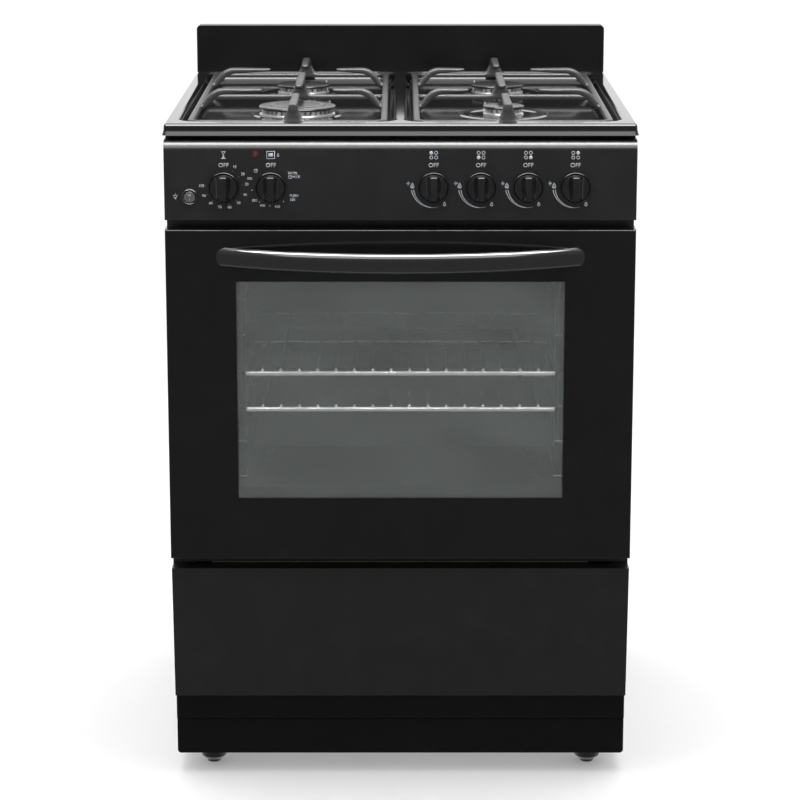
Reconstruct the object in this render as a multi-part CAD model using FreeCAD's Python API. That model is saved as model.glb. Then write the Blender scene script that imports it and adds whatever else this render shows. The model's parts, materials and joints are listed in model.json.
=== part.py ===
import FreeCAD, Part
import math
import os

from FreeCAD import Vector

# Freestanding gas range with an oven, a storage drawer and four burners.
# Millimetres. +X is the range's right as seen from the front, +Y runs from the front to the
# back, +Z is up. The origin lies on the floor, in the middle of the whole range's outline.

# ------------------------------------------------------------------ driving sizes: outline
body_width = 608.0
hob_depth = 610.0             # hob rim's front edge to the backguard's face
backguard_thickness = 24.0
backguard_height = 67.0       # above the hob's rim
backguard_corner_radius = 6.0
door_proud = 10.0             # door face in front of the hob rim's front edge
handle_reach = 52.0           # handle's foremost point in front of the door face

# Heights, stacked from the floor up
floor_gap = 29.0
kick_height = 49.0
kick_seam = 2.0
rail_height = 38.0
drawer_seam = 1.0
drawer_height = 185.0
door_gap_below = 17.0
door_height = 441.0
panel_gap_below = 12.0
panel_height = 103.0
fascia_gap = 6.0
fascia_height = 15.0

# Sheet metal
sheet = 1.2
side_flange = 20.0            # folded edge of a side panel

# Plinth
kick_depth = 44.0             # kick panel's face behind the rim's front edge
rail_depth = 40.0             # lower rail's face
toe_depth = 58.0              # where the side panels start, behind kick panel and rail
kick_corner_radius = 5.0

# Feet
foot_radius = 17.0
foot_sole_radius = 9.0
foot_height = 17.0
foot_stud_radius = 4.0
foot_stud_top = 54.0
foot_side_inset = 46.0
foot_front_depth = 95.0
foot_rear_inset = 62.0
weld_nut_radius = 9.0
weld_nut_height = 14.0

# Drawer
drawer_rake = 20.0            # how far the drawer front leans back from top to bottom
drawer_top_depth = 2.0
drawer_sheet = 1.5
tray_side_gap = 29.0          # between the tray and a side panel's folded edge
tray_length = 480.0
tray_floor_clearance = 4.0
tray_height = 155.0
tray_runner_width = 22.0
rail_lip_height = 24.0        # runner rail's lip above the tray's floor
rail_web_height = 34.0
rail_tab_width = 10.0
rail_tray_gap = 3.0
runner_clearance = 0.2
runner_thickness = 2.0

# Oven cavity
cavity_side_margin = 73.0     # cavity wall to the range's side
cavity_floor_above_door = 29.0
cavity_top_below_door = 30.0
burner_well_height = 25.0     # space for the bake burner below the oven's floor plate
rear_service_gap = 130.0      # behind the cavity, up to the backguard's face
insulation_thickness = 19.0
floor_plate_thickness = 1.5
floor_plate_clearance = 2.0
heat_slot_count = 6
heat_slot_width = 12.0
heat_slot_inset = 30.0

# Racks
rack_levels = 6
rack_first_level = 60.0       # lowest rack level above the cavity floor
lower_rack_level = 2
upper_rack_level = 3
rack_side_clearance = 20.0    # rack's outside to the cavity wall
rack_rod_radius = 3.0
rack_wire_radius = 2.0
rack_wire_pitch = 27.4
rack_front_depth = 60.0
rack_rear_clearance = 18.0
ladder_rod_radius = 2.5
ladder_wall_clearance = 0.5
ladder_end_inset = 42.0
rack_rest_clearance = 0.3
ladder_overrun = 30.0         # upright rods beyond the first and last level
ladder_pin_inset = 12.0       # wall pins from the uprights' ends
weld_depth = 1.0              # how far crossing wires are melted into each other

# Broiler pan
pan_width = 353.0
pan_depth = 34.0
pan_sheet = 1.2
pan_rim = 9.0
pan_front_offset = 70.0       # behind the lower rack's front bar
pan_rear_offset = 62.0        # in front of the lower rack's rear bar
pan_headroom = 5.7            # between the pan's rim and the rack above
pan_corner_radius = 12.0

# Oven burners
oven_tube_radius = 8.0
supply_tube_radius = 6.5
supply_overrun = 12.0         # supply tube's length behind the insulation
oven_elbow_wall = 0.5
pipe_elbow_wall = 2.5         # how much wider an elbow is than its pipe
oven_tube_spread = 76.0       # between the two legs of a burner
oven_tube_end_inset = 70.0
broil_drop = 19.0             # broil tube's axis below the cavity top
bake_rise = 12.0              # bake tube's axis above the well's floor
broil_plate_gap = 3.0
broil_plate_thickness = 1.5
broil_plate_overhang = 53.0   # plate's side beyond a tube's axis
broil_plate_front = 30.0      # plate in front of the tubes' ends
broil_plate_rear = 20.0
broil_stud_radius = 2.5
broil_stud_inset = 40.0

# Door
door_thickness = 34.0
window_side_margin = 91.0
window_top_margin = 68.0
window_bottom_margin = 83.0
glass_thickness = 4.0
glass_overlap = 12.0
door_edge_radius = 2.0
door_plateau_height = 2.8     # liner's raised middle, which meets the gasket
door_plateau_margin = 12.0
door_plateau_side_margin = 54.0
liner_window_drop = 8.0       # liner's window stands this far inside the outer window
hinge_axis_above_door = 7.0
hinge_axis_depth = 10.0       # behind the hob rim's front edge
hinge_pin_radius = 4.0
hinge_eye_radius = 6.6
hinge_arm_thickness = 4.0
hinge_arm_side_inset = 36.0
hinge_ear_gap = 4.5
hinge_ear_thickness = 3.0
hinge_slot_clearance = 1.5
hinge_receiver_length = 46.0
hinge_receiver_half_width = 7.0
hinge_receiver_half_height = 11.0
hinge_arm_overlap = 20.0      # arm's length inside the receiver
hinge_ear_top = 4.0           # ear above the eye
gasket_width = 10.0
gasket_gap = 0.3
gasket_thickness = 3.7
gasket_mouth_gap = 3.0        # between the gasket and the cavity's edge
running_clearance = 0.05

# Handle: a bowed bar
handle_half_span = 222.0
handle_bar_height = 26.0
handle_bar_thickness = 13.0
handle_below_door_top = 36.0

# Control panel
panel_proud = 6.0
panel_edge_radius = 12.0
knob_axis_below_top = 60.0
knob_pitch = 60.7
burner_knob_count = 4
right_knob_margin = 79.3
left_knob_margin = 76.9
switch_margin = 32.8
switch_below_top = 72.7
lamp_margin = 117.8
lamp_below_top = 17.1

# Knobs and their spindles
knob_radius = 20.0
knob_skirt_thickness = 4.0
knob_gap = 4.0                # between knob and panel; the push uses part of it
knob_face_radius = 17.6
knob_face_height = 3.4
knob_blade_width = 9.0
knob_blade_height = 15.0
spindle_radius = 3.0
spindle_flat = 2.2
spindle_engagement = 10.0
spindle_free_end = 5.0
spindle_length_inside = 38.0
spindle_hole_radius = 4.6
valve_front_depth = 14.0
valve_width = 24.0
valve_height = 30.0
valve_length = 34.0
valve_tail_radius = 6.0
valve_outlet_radius = 4.0
valve_outlet_length = 12.0
thermostat_boss_radius = 5.0
thermostat_boss_length = 10.0
thermostat_size = 42.0
timer_radius = 21.0
timer_length = 26.0
manifold_radius = 9.0
manifold_depth = 58.0
manifold_right_inset = 54.0
inlet_radius = 10.5
inlet_length = 14.0
inlet_collar_radius = 15.0
inlet_collar_length = 6.0
inlet_access_radius = 24.0    # opening in the back panel round the inlet

# Rocker switch and lamp
rocker_radius = 7.4
rocker_thickness = 4.0
rocker_tilt = 6.0
rocker_bore = 8.2
rocker_frame_radius = 11.0
rocker_body_radius = 9.5
rocker_body_length = 16.0
lamp_radius = 3.2
lamp_length = 10.0

# Hob
rim_side = 16.0
rim_front = 22.0
rim_rear = 17.0
basin_depth = 12.0
basin_corner_radius = 22.0
basin_slope = 7.0
centre_rib = 6.0
rim_edge_radius = 4.0
collar_radius = 57.0
collar_width = 5.0
collar_height = 1.6

# Burners
burner_offset = 139.0         # from the middle, left and right
front_burner_depth = 190.0
rear_burner_inset = 175.0     # from the backguard's face
burner_cap_radii = {
    "front_left": 52.0,
    "rear_left": 38.0,
    "front_right": 28.0,
    "rear_right": 38.0,
}
crown_inset = 4.0             # crown's outside inside the cap's edge
crown_wall = 7.0
crown_height = 8.0
crown_flange = 3.0
crown_flange_height = 2.5
crown_slot_width = 2.2
crown_slot_depth = 4.0
crown_slot_pitch = 8.0
crown_neck_length = 26.0
cap_thickness = 4.6
cap_groove_radius = 33.0
cap_groove_width = 3.0
cap_groove_depth = 0.8
cap_spigot_depth = 3.0
fit_clearance = 0.4
electrode_radius = 2.4
electrode_gap = 5.0
electrode_tip_radius = 0.9
electrode_height = 14.0
electrode_below_basin = 16.0
electrode_tip_height = 4.0
electrode_slant = 40.0        # degrees from the left-right line through the burner

# Grates
grate_bar_width = 9.0
grate_bar_height = 7.5
grate_edge_clearance = 4.0    # between a grate's outside and its basin
grate_foot_height = 4.5
grate_foot_radius = 4.0
grate_support_height = 23.0   # pan level above the hob's rim
grate_arm_height = 8.0
grate_arm_rise_run = 24.0     # sideways run of an arm while it rises
grate_tip_radius = 47.0       # arm tips from the burner's axis
grate_flare_width = 34.0      # foot of a finger where it leaves its cross bar
grate_corner_radius = 20.0

# Rear
rear_inset = 4.0              # side panels' rear edge in front of the backguard's rear
gland_radius = 10.0
gland_bore_radius = 5.0
gland_flange_radius = 14.0
gland_inset = 70.0
gland_height = 130.0
gland_length = 16.0
screw_radius = 2.0
screw_head_radius = 4.0
screw_head_height = 1.8
screw_length = 8.0
screw_rows = 5
screw_end_margin = 40.0       # from the side panel's ends to the first and last screw
louvre_length = 150.0
louvre_height = 4.0
louvre_rows = 6
louvre_pitch = 14.0
louvre_column_gap = 24.0
louvre_above_cavity = 40.0
louvre_above_drawer_foot = 60.0

# ------------------------------------------------------------------ derived places
half = body_width / 2
total_depth = handle_reach + door_proud + hob_depth + backguard_thickness
rim_y = -total_depth / 2 + handle_reach + door_proud
back_y = total_depth / 2
shell_rear = back_y - rear_inset

z_kick = floor_gap
z_rail = z_kick + kick_height + kick_seam
z_drawer = z_rail + rail_height + drawer_seam
z_drawer_top = z_drawer + drawer_height
z_door = z_drawer_top + door_gap_below
z_door_top = z_door + door_height
z_panel = z_door_top + panel_gap_below
z_panel_top = z_panel + panel_height
z_fascia = z_panel_top + fascia_gap
z_rim = z_fascia + fascia_height
z_shell_top = z_fascia - 2.0
z_basin = z_rim - basin_depth
z_crown_top = z_basin + crown_height
z_support = z_rim + grate_support_height
z_knob = z_panel_top - knob_axis_below_top


def depth(distance):
    """Y of a plane that lies this far behind the hob rim's front edge."""
    return rim_y + distance


door_face_y = depth(-door_proud)
door_rear_y = door_face_y + door_thickness
frame_y = door_rear_y + gasket_gap + gasket_thickness
shell_front = frame_y + sheet
panel_face_y = depth(-panel_proud)
rear_burner_depth = hob_depth - rear_burner_inset

cavity_half = half - cavity_side_margin
z_cavity = z_door + cavity_floor_above_door
z_cavity_top = z_door_top - cavity_top_below_door
z_well = z_cavity - burner_well_height
cavity_rear = depth(hob_depth - rear_service_gap)

rack_half = cavity_half - rack_side_clearance
rack_height = 2 * rack_rod_radius + 2 * rack_wire_radius - weld_depth
rack_level_pitch = rack_height + rack_rest_clearance + pan_depth + pan_headroom
rack_front_y = depth(rack_front_depth)
rack_rear_y = cavity_rear - rack_rear_clearance
pan_front_y = rack_front_y + pan_front_offset
pan_rear_y = rack_rear_y - pan_rear_offset
ladder_front_y = rack_front_y + ladder_end_inset
ladder_rear_y = cavity_rear - ladder_end_inset

hinge_y = depth(hinge_axis_depth)
hinge_z = z_door + hinge_axis_above_door
hinge_x = half - hinge_arm_side_inset

tray_half = half - side_flange - tray_side_gap
z_tray = z_drawer + tray_floor_clearance
drawer_back_y = frame_y
tray_lip_z = z_tray + rail_lip_height

basin_outer = half - rim_side
basin_front = depth(rim_front)
basin_rear = depth(hob_depth - rim_rear)

knob_x = {"knob_timer": -half + left_knob_margin}
knob_x["knob_oven"] = knob_x["knob_timer"] + knob_pitch
for number in range(burner_knob_count):
    steps_left = burner_knob_count - 1 - number
    knob_x["knob_burner_" + str(number + 1)] = half - right_knob_margin - steps_left * knob_pitch
pushing_knobs = [name for name in knob_x if name != "knob_timer"]

burner_place = {
    "front_left": (-burner_offset, depth(front_burner_depth)),
    "rear_left": (-burner_offset, depth(rear_burner_depth)),
    "front_right": (burner_offset, depth(front_burner_depth)),
    "rear_right": (burner_offset, depth(rear_burner_depth)),
}

X = Vector(1, 0, 0)
Y = Vector(0, 1, 0)
Z = Vector(0, 0, 1)


# ------------------------------------------------------------------ shape helpers
def box(x0, x1, y0, y1, z0, z1):
    """Block between two corners."""
    return Part.makeBox(x1 - x0, y1 - y0, z1 - z0, Vector(x0, y0, z0))


def rod(start, end, radius):
    """Round bar from one point to another."""
    start = Vector(*start)
    run = Vector(*end) - start
    return Part.makeCylinder(radius, run.Length, start, run)


def ball(centre, radius):
    """Sphere that rounds a corner between two rods."""
    return Part.makeSphere(radius, Vector(*centre))


def bent_rod(points, radius, elbow_wall=0.0):
    """Rods from point to point, with balls in the corners, wider ones where elbows are fitted."""
    pieces = [rod(a, b, radius) for a, b in zip(points, points[1:])]
    pieces += [ball(corner, radius + elbow_wall) for corner in points[1:-1]]
    return pieces[0].multiFuse(pieces[1:])


def prism(points, direction, places):
    """Flat outline through 3-D corner points, pushed along a direction."""
    corners = [Vector(*point) for point in points]
    outline = Part.makePolygon(corners + [corners[0]])
    return Part.Face(outline).extrude(direction * places)


def side_prism(outline, x0, x1):
    """Outline given as (y, z) points, pushed from x0 to x1."""
    return prism([(x0, y, z) for y, z in outline], X, x1 - x0)


def front_prism(outline, y0, y1):
    """Outline given as (x, z) points, pushed from y0 to y1."""
    return prism([(x, y0, z) for x, z in outline], Y, y1 - y0)


def turned(profile, centre, axis_direction=Z):
    """Profile of (radius, height) points turned about an axis through centre along Z or -Y."""
    corners = [Vector(radius, 0, height) for radius, height in profile]
    face = Part.Face(Part.makePolygon(corners + [corners[0]]))
    shape = face.revolve(Vector(0, 0, 0), Z, 360)
    if axis_direction != Z:
        shape.rotate(Vector(0, 0, 0), X, 90)
    shape.translate(Vector(*centre))
    return shape


def rounded_block(x0, x1, y0, y1, z0, z1, radius):
    """Block whose four upright edges are rounded."""
    shape = box(x0, x1, y0, y1, z0, z1)
    upright = [edge for edge in shape.Edges if abs(edge.tangentAt(edge.FirstParameter).z) > 0.99]
    return shape.makeFillet(radius, upright)


def drafted_basin(x0, x1, y0, y1, z0, z1, slope, radius):
    """Rounded pocket that is wider at its top by the slope on every side."""
    sections = []
    for height, spread in ((z0, 0.0), (z1, slope)):
        block = rounded_block(x0 - spread, x1 + spread, y0 - spread, y1 + spread,
                              height, height + 1.0, radius + spread)
        bottom = [face for face in block.Faces if face.CenterOfMass.z < height + 0.01]
        sections.append(bottom[0].OuterWire)
    return Part.makeLoft(sections, True)


def pan_front(x0, x1, y0, y1, z0, z1, wall):
    """Folded sheet pan whose closed side faces the front."""
    shell = box(x0, x1, y0, y1, z0, z1)
    return shell.cut(box(x0 + wall, x1 - wall, y0 + wall, y1 + 1.0, z0 + wall, z1 - wall))


def mirrored(shape):
    """The same shape on the range's other side."""
    return shape.mirror(Vector(0, 0, 0), X)


def round_edges(shape, radius, chosen):
    """Fillet the edges that the test picks."""
    return shape.makeFillet(radius, [edge for edge in shape.Edges if chosen(edge)])


def along_x(edge):
    """True for an edge that runs left to right."""
    return edge.Curve.TypeId == "Part::GeomLine" and abs(edge.Curve.Direction.x) > 0.99


def along_y(edge):
    """True for an edge that runs front to back."""
    return edge.Curve.TypeId == "Part::GeomLine" and abs(edge.Curve.Direction.y) > 0.99


# ------------------------------------------------------------------ cabinet
def screw_places():
    """Centres of the back panel's screws, up both side flanges."""
    step = (z_shell_top - z_kick - 2 * screw_end_margin) / (screw_rows - 1)
    x = half - side_flange / 2
    return [(side * x, z_kick + screw_end_margin + row * step)
            for side in (-1, 1) for row in range(screw_rows)]


def screw_holes():
    """Clearance for the back panel's screws."""
    start = shell_rear - 3 * sheet
    return [rod((x, start, z), (x, shell_rear + 1, z), screw_radius) for x, z in screw_places()]


def side_panel():
    """Right side: pan with folded edges, open inwards, stepped back above the plinth."""
    inner_edge = half - side_flange
    body = box(inner_edge, half, shell_front, shell_rear, z_drawer, z_shell_top)
    toe = box(inner_edge, half, depth(toe_depth), shell_rear, z_kick, z_drawer)
    hollow = box(inner_edge - 1, half - sheet, shell_front + sheet, shell_rear - sheet,
                 z_drawer + sheet, z_shell_top - sheet)
    toe_hollow = box(inner_edge - 1, half - sheet, depth(toe_depth) + sheet, shell_rear - sheet,
                     z_kick + sheet, z_drawer + 2 * sheet)
    return body.fuse(toe).removeSplitter().cut([hollow, toe_hollow]).cut(screw_holes())


def louvres():
    """Two blocks of vent slots, one high and one low."""
    slots = []
    for centre_z in (z_cavity_top + louvre_above_cavity, z_drawer + louvre_above_drawer_foot):
        for row in range(louvre_rows):
            z = centre_z + (row - louvre_rows / 2) * louvre_pitch
            for side in (-1, 1):
                x = side * (louvre_length + louvre_column_gap) / 2
                slots.append(box(x - louvre_length / 2, x + louvre_length / 2,
                                 shell_rear - 3 * sheet, shell_rear, z, z + louvre_height))
    return slots


def inlet_place():
    """X and Z of the gas inlet's axis."""
    return half - manifold_right_inset, z_knob


def gland_place():
    """X and Z of the cable gland's axis."""
    return -half + gland_inset, gland_height


def back_panel():
    """Flat sheet inside the side panels' rear edges, with vents, inlet and gland holes."""
    rear = shell_rear - sheet
    plate = box(-half + sheet, half - sheet, rear - sheet, rear, z_kick + sheet, z_shell_top - sheet)
    x, z = inlet_place()
    inlet_hole = rod((x, rear - 5, z), (x, rear + 1, z), inlet_access_radius)
    x, z = gland_place()
    gland_hole = rod((x, rear - 5, z), (x, rear + 1, z), gland_radius)
    return plate.cut(louvres() + screw_holes() + [inlet_hole, gland_hole])


def body_screws():
    """Pan-head screws that hold the back panel to the side panels."""
    screws = []
    for x, z in screw_places():
        shank = rod((x, shell_rear - screw_length, z), (x, shell_rear, z), screw_radius)
        head = rod((x, shell_rear, z), (x, shell_rear + screw_head_height, z), screw_head_radius)
        screws.append(shank.fuse(head))
    return Part.makeCompound(screws)


def foot_places():
    """Centres of the four feet, by name."""
    x = half - foot_side_inset
    front = depth(foot_front_depth)
    rear = shell_rear - foot_rear_inset
    return {
        "foot_front_left": (-x, front),
        "foot_front_right": (x, front),
        "foot_rear_left": (-x, rear),
        "foot_rear_right": (x, rear),
    }


def base_frame():
    """Bottom tray with upturned ends and a weld nut over each foot."""
    bottom = z_kick + sheet
    front = depth(toe_depth) + sheet
    rear = shell_rear - 2 * sheet
    side = half - sheet
    floor = box(-side, side, front, rear, bottom, bottom + sheet)
    upturn = side_flange
    lips = [box(-side, side, front, front + sheet, bottom, bottom + upturn),
            box(-side, side, rear - sheet, rear, bottom, bottom + upturn)]
    nuts = [Part.makeCylinder(weld_nut_radius, weld_nut_height, Vector(x, y, bottom))
            for x, y in foot_places().values()]
    bores = [Part.makeCylinder(foot_stud_radius + running_clearance, weld_nut_height + 2,
                               Vector(x, y, bottom - 1)) for x, y in foot_places().values()]
    return floor.multiFuse(lips + nuts).cut(bores)


def foot(x, y):
    """Levelling foot: a chamfered pad on a stud."""
    pad = turned([(0, 0), (foot_sole_radius, 0), (foot_sole_radius + 1, 3), (foot_radius, 9),
                  (foot_radius, foot_height - 1), (foot_radius - 1, foot_height), (0, foot_height)],
                 (x, y, 0))
    stud = rod((x, y, foot_height - 1), (x, y, foot_stud_top), foot_stud_radius)
    return pad.fuse(stud)


def kick_panel():
    """Recessed plinth panel, with rounded lower corners."""
    front = depth(kick_depth)
    shell = pan_front(-half, half, front, depth(toe_depth), z_kick, z_kick + kick_height, sheet)
    tool = box(-half, half, front - 1, depth(toe_depth) + 1, z_kick, z_kick + kick_height)
    corners = round_edges(tool, kick_corner_radius,
                          lambda edge: along_y(edge) and edge.CenterOfMass.z < z_kick + 1)
    return shell.common(corners)


def lower_rail():
    """Fixed rail between the plinth and the drawer."""
    return pan_front(-half, half, depth(rail_depth), depth(toe_depth), z_rail, z_rail + rail_height,
                     sheet)


def backguard():
    """Upright splash guard behind the hob, folded from one sheet."""
    front = depth(hob_depth)
    top = z_rim + backguard_height
    shell = pan_front(-half, half, front, back_y, z_fascia, top, sheet)
    tool = box(-half, half, front - 1, back_y + 1, z_fascia, top)
    rounded = round_edges(tool, backguard_corner_radius,
                          lambda edge: along_y(edge) and edge.CenterOfMass.z > top - 1)
    return shell.common(rounded)


# ------------------------------------------------------------------ hob
def basin(side, grow):
    """One drafted basin of the hob, grown outwards and downwards by the sheet for its back."""
    inner = centre_rib + basin_slope - grow
    outer = basin_outer - basin_slope + grow
    x0, x1 = sorted((side * inner, side * outer))
    return drafted_basin(x0, x1, basin_front + basin_slope - grow, basin_rear - basin_slope + grow,
                         z_basin - grow, z_rim + (0.01 if grow == 0 else -sheet),
                         basin_slope, basin_corner_radius)


def crown_radius(name):
    """Outside radius of a burner's crown."""
    return burner_cap_radii[name] - crown_inset


def neck_radius(name):
    """Radius of the crown's neck, which passes through the hob."""
    return crown_radius(name) - crown_wall - 3.0


def electrode_place(name):
    """Centre of a burner's spark electrode, beside the crown towards the hob's middle."""
    x, y = burner_place[name]
    reach = crown_radius(name) + crown_flange + electrode_gap
    slant = math.radians(electrode_slant)
    inwards = -1 if x > 0 else 1
    return x + inwards * reach * math.cos(slant), y + reach * math.sin(slant)


def hob_top():
    """Pressed top: rim, skirt, two basins with collars round the burners, all one sheet."""
    rear = depth(hob_depth)
    outer = box(-half, half, rim_y, rear, z_fascia, z_rim)
    outer = round_edges(outer, rim_edge_radius,
                        lambda edge: edge.CenterOfMass.z > z_rim - 0.1
                        and edge.CenterOfMass.y < rear - 1)
    hollow = box(-half + sheet, half - sheet, rim_y + sheet, rear - sheet, z_fascia - 1,
                 z_rim - sheet)
    backs = [basin(side, sheet) for side in (-1, 1)]
    shell = outer.cut(hollow.cut(backs)).cut([basin(side, 0) for side in (-1, 1)])
    collars = []
    holes = []
    for name, (x, y) in burner_place.items():
        collar = [(collar_radius - collar_width, -sheet / 2), (collar_radius + collar_width, -sheet / 2),
                  (collar_radius + collar_width, 0), (collar_radius, collar_height),
                  (collar_radius - collar_width, 0)]
        collars.append(turned(collar, (x, y, z_basin)))
        holes.append(rod((x, y, z_basin - 5), (x, y, z_basin + 5), neck_radius(name) + fit_clearance))
        ex, ey = electrode_place(name)
        holes.append(rod((ex, ey, z_basin - 5), (ex, ey, z_basin + 5), electrode_radius + fit_clearance))
    return shell.multiFuse(collars).cut(holes)


def burner_crown(name):
    """Aluminium flame ring: flange on the hob, slotted wall, neck through the hob."""
    x, y = burner_place[name]
    outside = crown_radius(name)
    inside = outside - crown_wall
    neck = neck_radius(name)
    shape = turned([(neck - 3, -crown_neck_length), (neck, -crown_neck_length), (neck, 0),
                    (outside + crown_flange, 0), (outside + crown_flange, crown_flange_height - 1),
                    (outside, crown_flange_height), (outside, crown_height),
                    (inside, crown_height), (inside, crown_flange_height + 2),
                    (neck - 3, crown_flange_height + 2)], (x, y, z_basin))
    count = int(round(2 * math.pi * outside / crown_slot_pitch))
    slots = []
    for index in range(count):
        slot = box(inside - 2, outside + 2, -crown_slot_width / 2, crown_slot_width / 2,
                   crown_height - crown_slot_depth, crown_height + 1)
        slot.rotate(Vector(0, 0, 0), Z, 360.0 * index / count)
        slot.translate(Vector(x, y, z_basin))
        slots.append(slot)
    return shape.cut(slots)


def burner_cap(name):
    """Enamelled lid on the crown, with a locating spigot below and a shallow groove on top."""
    x, y = burner_place[name]
    radius = burner_cap_radii[name]
    spigot = crown_radius(name) - crown_wall - fit_clearance
    profile = [(0, -cap_spigot_depth), (spigot - 1, -cap_spigot_depth), (spigot, 0), (radius - 1.5, 0),
               (radius, 1.4), (radius, cap_thickness - 2.0), (radius - 2.5, cap_thickness - 0.4)]
    if radius > cap_groove_radius + 3 * cap_groove_width:
        profile += [(cap_groove_radius + cap_groove_width, cap_thickness),
                    (cap_groove_radius, cap_thickness - cap_groove_depth),
                    (cap_groove_radius - cap_groove_width, cap_thickness)]
    profile += [(radius / 3, cap_thickness + 0.4), (0, cap_thickness + 0.4)]
    return turned(profile, (x, y, z_crown_top))


def spark_electrodes():
    """Ceramic posts with a wire tip, one by each burner."""
    posts = []
    for name in burner_place:
        x, y = electrode_place(name)
        top = z_basin + electrode_height
        shoulder = top - electrode_tip_height
        post = rod((x, y, z_basin - electrode_below_basin), (x, y, shoulder), electrode_radius)
        tip = rod((x, y, shoulder - 1), (x, y, top), electrode_tip_radius)
        posts.append(post.fuse(tip))
    return Part.makeCompound(posts)


def grate_side_arm(x_bar, y, towards):
    """Arm that rises from a side bar and runs level to its tip, pushed to the bar's width."""
    low = z_basin + grate_foot_height
    tip = burner_offset + (grate_tip_radius if x_bar > burner_offset else -grate_tip_radius)
    knee = x_bar + towards * grate_arm_rise_run
    outline = [
        (x_bar - towards * grate_bar_width / 2, low),
        (x_bar + towards * grate_bar_width / 2, low),
        (knee + towards * 7, z_support - grate_arm_height),
        (tip, z_support - grate_arm_height + 2),
        (tip, z_support),
        (knee, z_support),
        (knee - towards * 8, z_support - 3.5),
        (x_bar - towards * grate_bar_width / 2, low + grate_bar_height),
    ]
    return front_prism(outline, y - grate_bar_width / 2, y + grate_bar_width / 2)


def grate_flare(y_bar):
    """Foot of a finger: spreads from the finger's width down to the cross bar, in the XZ plane."""
    low = z_basin + grate_foot_height + grate_bar_height
    curve = []
    steps = 6
    for step in range(steps + 1):
        share = step / steps
        spread = grate_bar_width / 2 + (grate_flare_width - grate_bar_width) / 2 * (1 - share) ** 2
        curve.append((spread, low - 0.5 + share * (z_support - 6 - low)))
    right = [(burner_offset + spread, z) for spread, z in curve]
    left = [(burner_offset - spread, z) for spread, z in reversed(curve)]
    return front_prism(right + left, y_bar - grate_bar_width / 2, y_bar + grate_bar_width / 2)


def grate_finger(y_bar, y_tip):
    """Finger from a cross bar towards a burner, level on top and arched below."""
    ahead = 1 if y_tip > y_bar else -1
    start = y_bar - ahead * grate_bar_width / 2
    outline = [
        (start, z_support - 8),
        (start, z_support - 1.5),
        (start + ahead * 3, z_support),
        (y_tip, z_support),
        (y_tip, z_support - grate_arm_height + 3),
        (y_bar + ahead * grate_bar_width, z_support - grate_arm_height - 1),
        (y_bar + ahead * grate_bar_width / 2, z_support - grate_arm_height - 5),
        (y_bar, z_support - grate_arm_height - 6),
    ]
    return side_prism(outline, burner_offset - grate_bar_width / 2, burner_offset + grate_bar_width / 2)


def grate_right():
    """Cast pan support over the two right burners."""
    low = z_basin + grate_foot_height
    high = low + grate_bar_height
    inner = centre_rib + basin_slope + grate_edge_clearance
    outer = basin_outer - basin_slope - grate_edge_clearance
    front = basin_front + basin_slope + grate_edge_clearance
    rear = basin_rear - basin_slope - grate_edge_clearance
    width = grate_bar_width
    middle = depth((front_burner_depth + rear_burner_depth) / 2)
    ring = rounded_block(inner, outer, front, rear, low, high, grate_corner_radius)
    ring = ring.cut(rounded_block(inner + width, outer - width, front + width, rear - width,
                                  low - 1, high + 1, grate_corner_radius - width))
    pieces = [ring, box(inner + 1, outer - 1, middle - width / 2, middle + width / 2, low, high)]
    for y in (front + width / 2, middle, rear - width / 2):
        pieces.append(grate_flare(y))
    front_y = depth(front_burner_depth)
    rear_y = depth(rear_burner_depth)
    pieces.append(grate_finger(front + width / 2, front_y - grate_tip_radius))
    pieces.append(grate_finger(middle, front_y + grate_tip_radius))
    pieces.append(grate_finger(middle, rear_y - grate_tip_radius))
    pieces.append(grate_finger(rear - width / 2, rear_y + grate_tip_radius))
    for y in (front_y, rear_y):
        pieces.append(grate_side_arm(inner + width / 2, y, 1))
        pieces.append(grate_side_arm(outer - width / 2, y, -1))
    for x in (inner + width / 2, outer - width / 2):
        for y in (front + width / 2, rear - width / 2):
            foot_y = y + (1 if y < middle else -1) * grate_corner_radius
            pieces.append(rod((x, foot_y, z_basin), (x, foot_y, low + 1), grate_foot_radius))
    return pieces[0].multiFuse(pieces[1:]).removeSplitter()


# ------------------------------------------------------------------ control panel
def switch_place():
    """X and Z of the rocker switch's centre."""
    return -half + switch_margin, z_panel_top - switch_below_top


def lamp_place():
    """X and Z of the pilot lamp's centre."""
    return -half + lamp_margin, z_panel_top - lamp_below_top


def control_panel():
    """Fascia with rounded front edges and holes for spindles, switch and lamp."""
    outer = box(-half, half, panel_face_y, frame_y, z_panel, z_panel_top)
    outer = round_edges(outer, panel_edge_radius,
                        lambda edge: along_x(edge) and edge.CenterOfMass.y < panel_face_y + 1
                        and edge.CenterOfMass.z > z_panel_top - 1)
    hollow = box(-half + sheet, half - sheet, panel_face_y + sheet, frame_y + 1, z_panel + sheet,
                 z_panel_top - sheet)
    hollow = round_edges(hollow, panel_edge_radius - sheet,
                         lambda edge: along_x(edge) and edge.CenterOfMass.y < panel_face_y + 2
                         and edge.CenterOfMass.z > z_panel_top - 2)
    front = panel_face_y - 1
    holes = [rod((x, front, z_knob), (x, front + 5, z_knob), spindle_hole_radius)
             for x in knob_x.values()]
    x, z = switch_place()
    holes.append(rod((x, front, z), (x, front + 5, z), rocker_body_radius))
    x, z = lamp_place()
    holes.append(rod((x, front, z), (x, front + 5, z), lamp_radius))
    return outer.cut([hollow] + holes)


def d_shaft(x, y0, y1, extra):
    """Shaft with one flat on top, grown by a clearance where it is a bore's tool."""
    shaft = rod((x, y0, z_knob), (x, y1, z_knob), spindle_radius + extra)
    flat = box(x - 10, x + 10, y0 - 1, y1 + 1, z_knob + spindle_flat + extra, z_knob + 10)
    return shaft.cut(flat)


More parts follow.
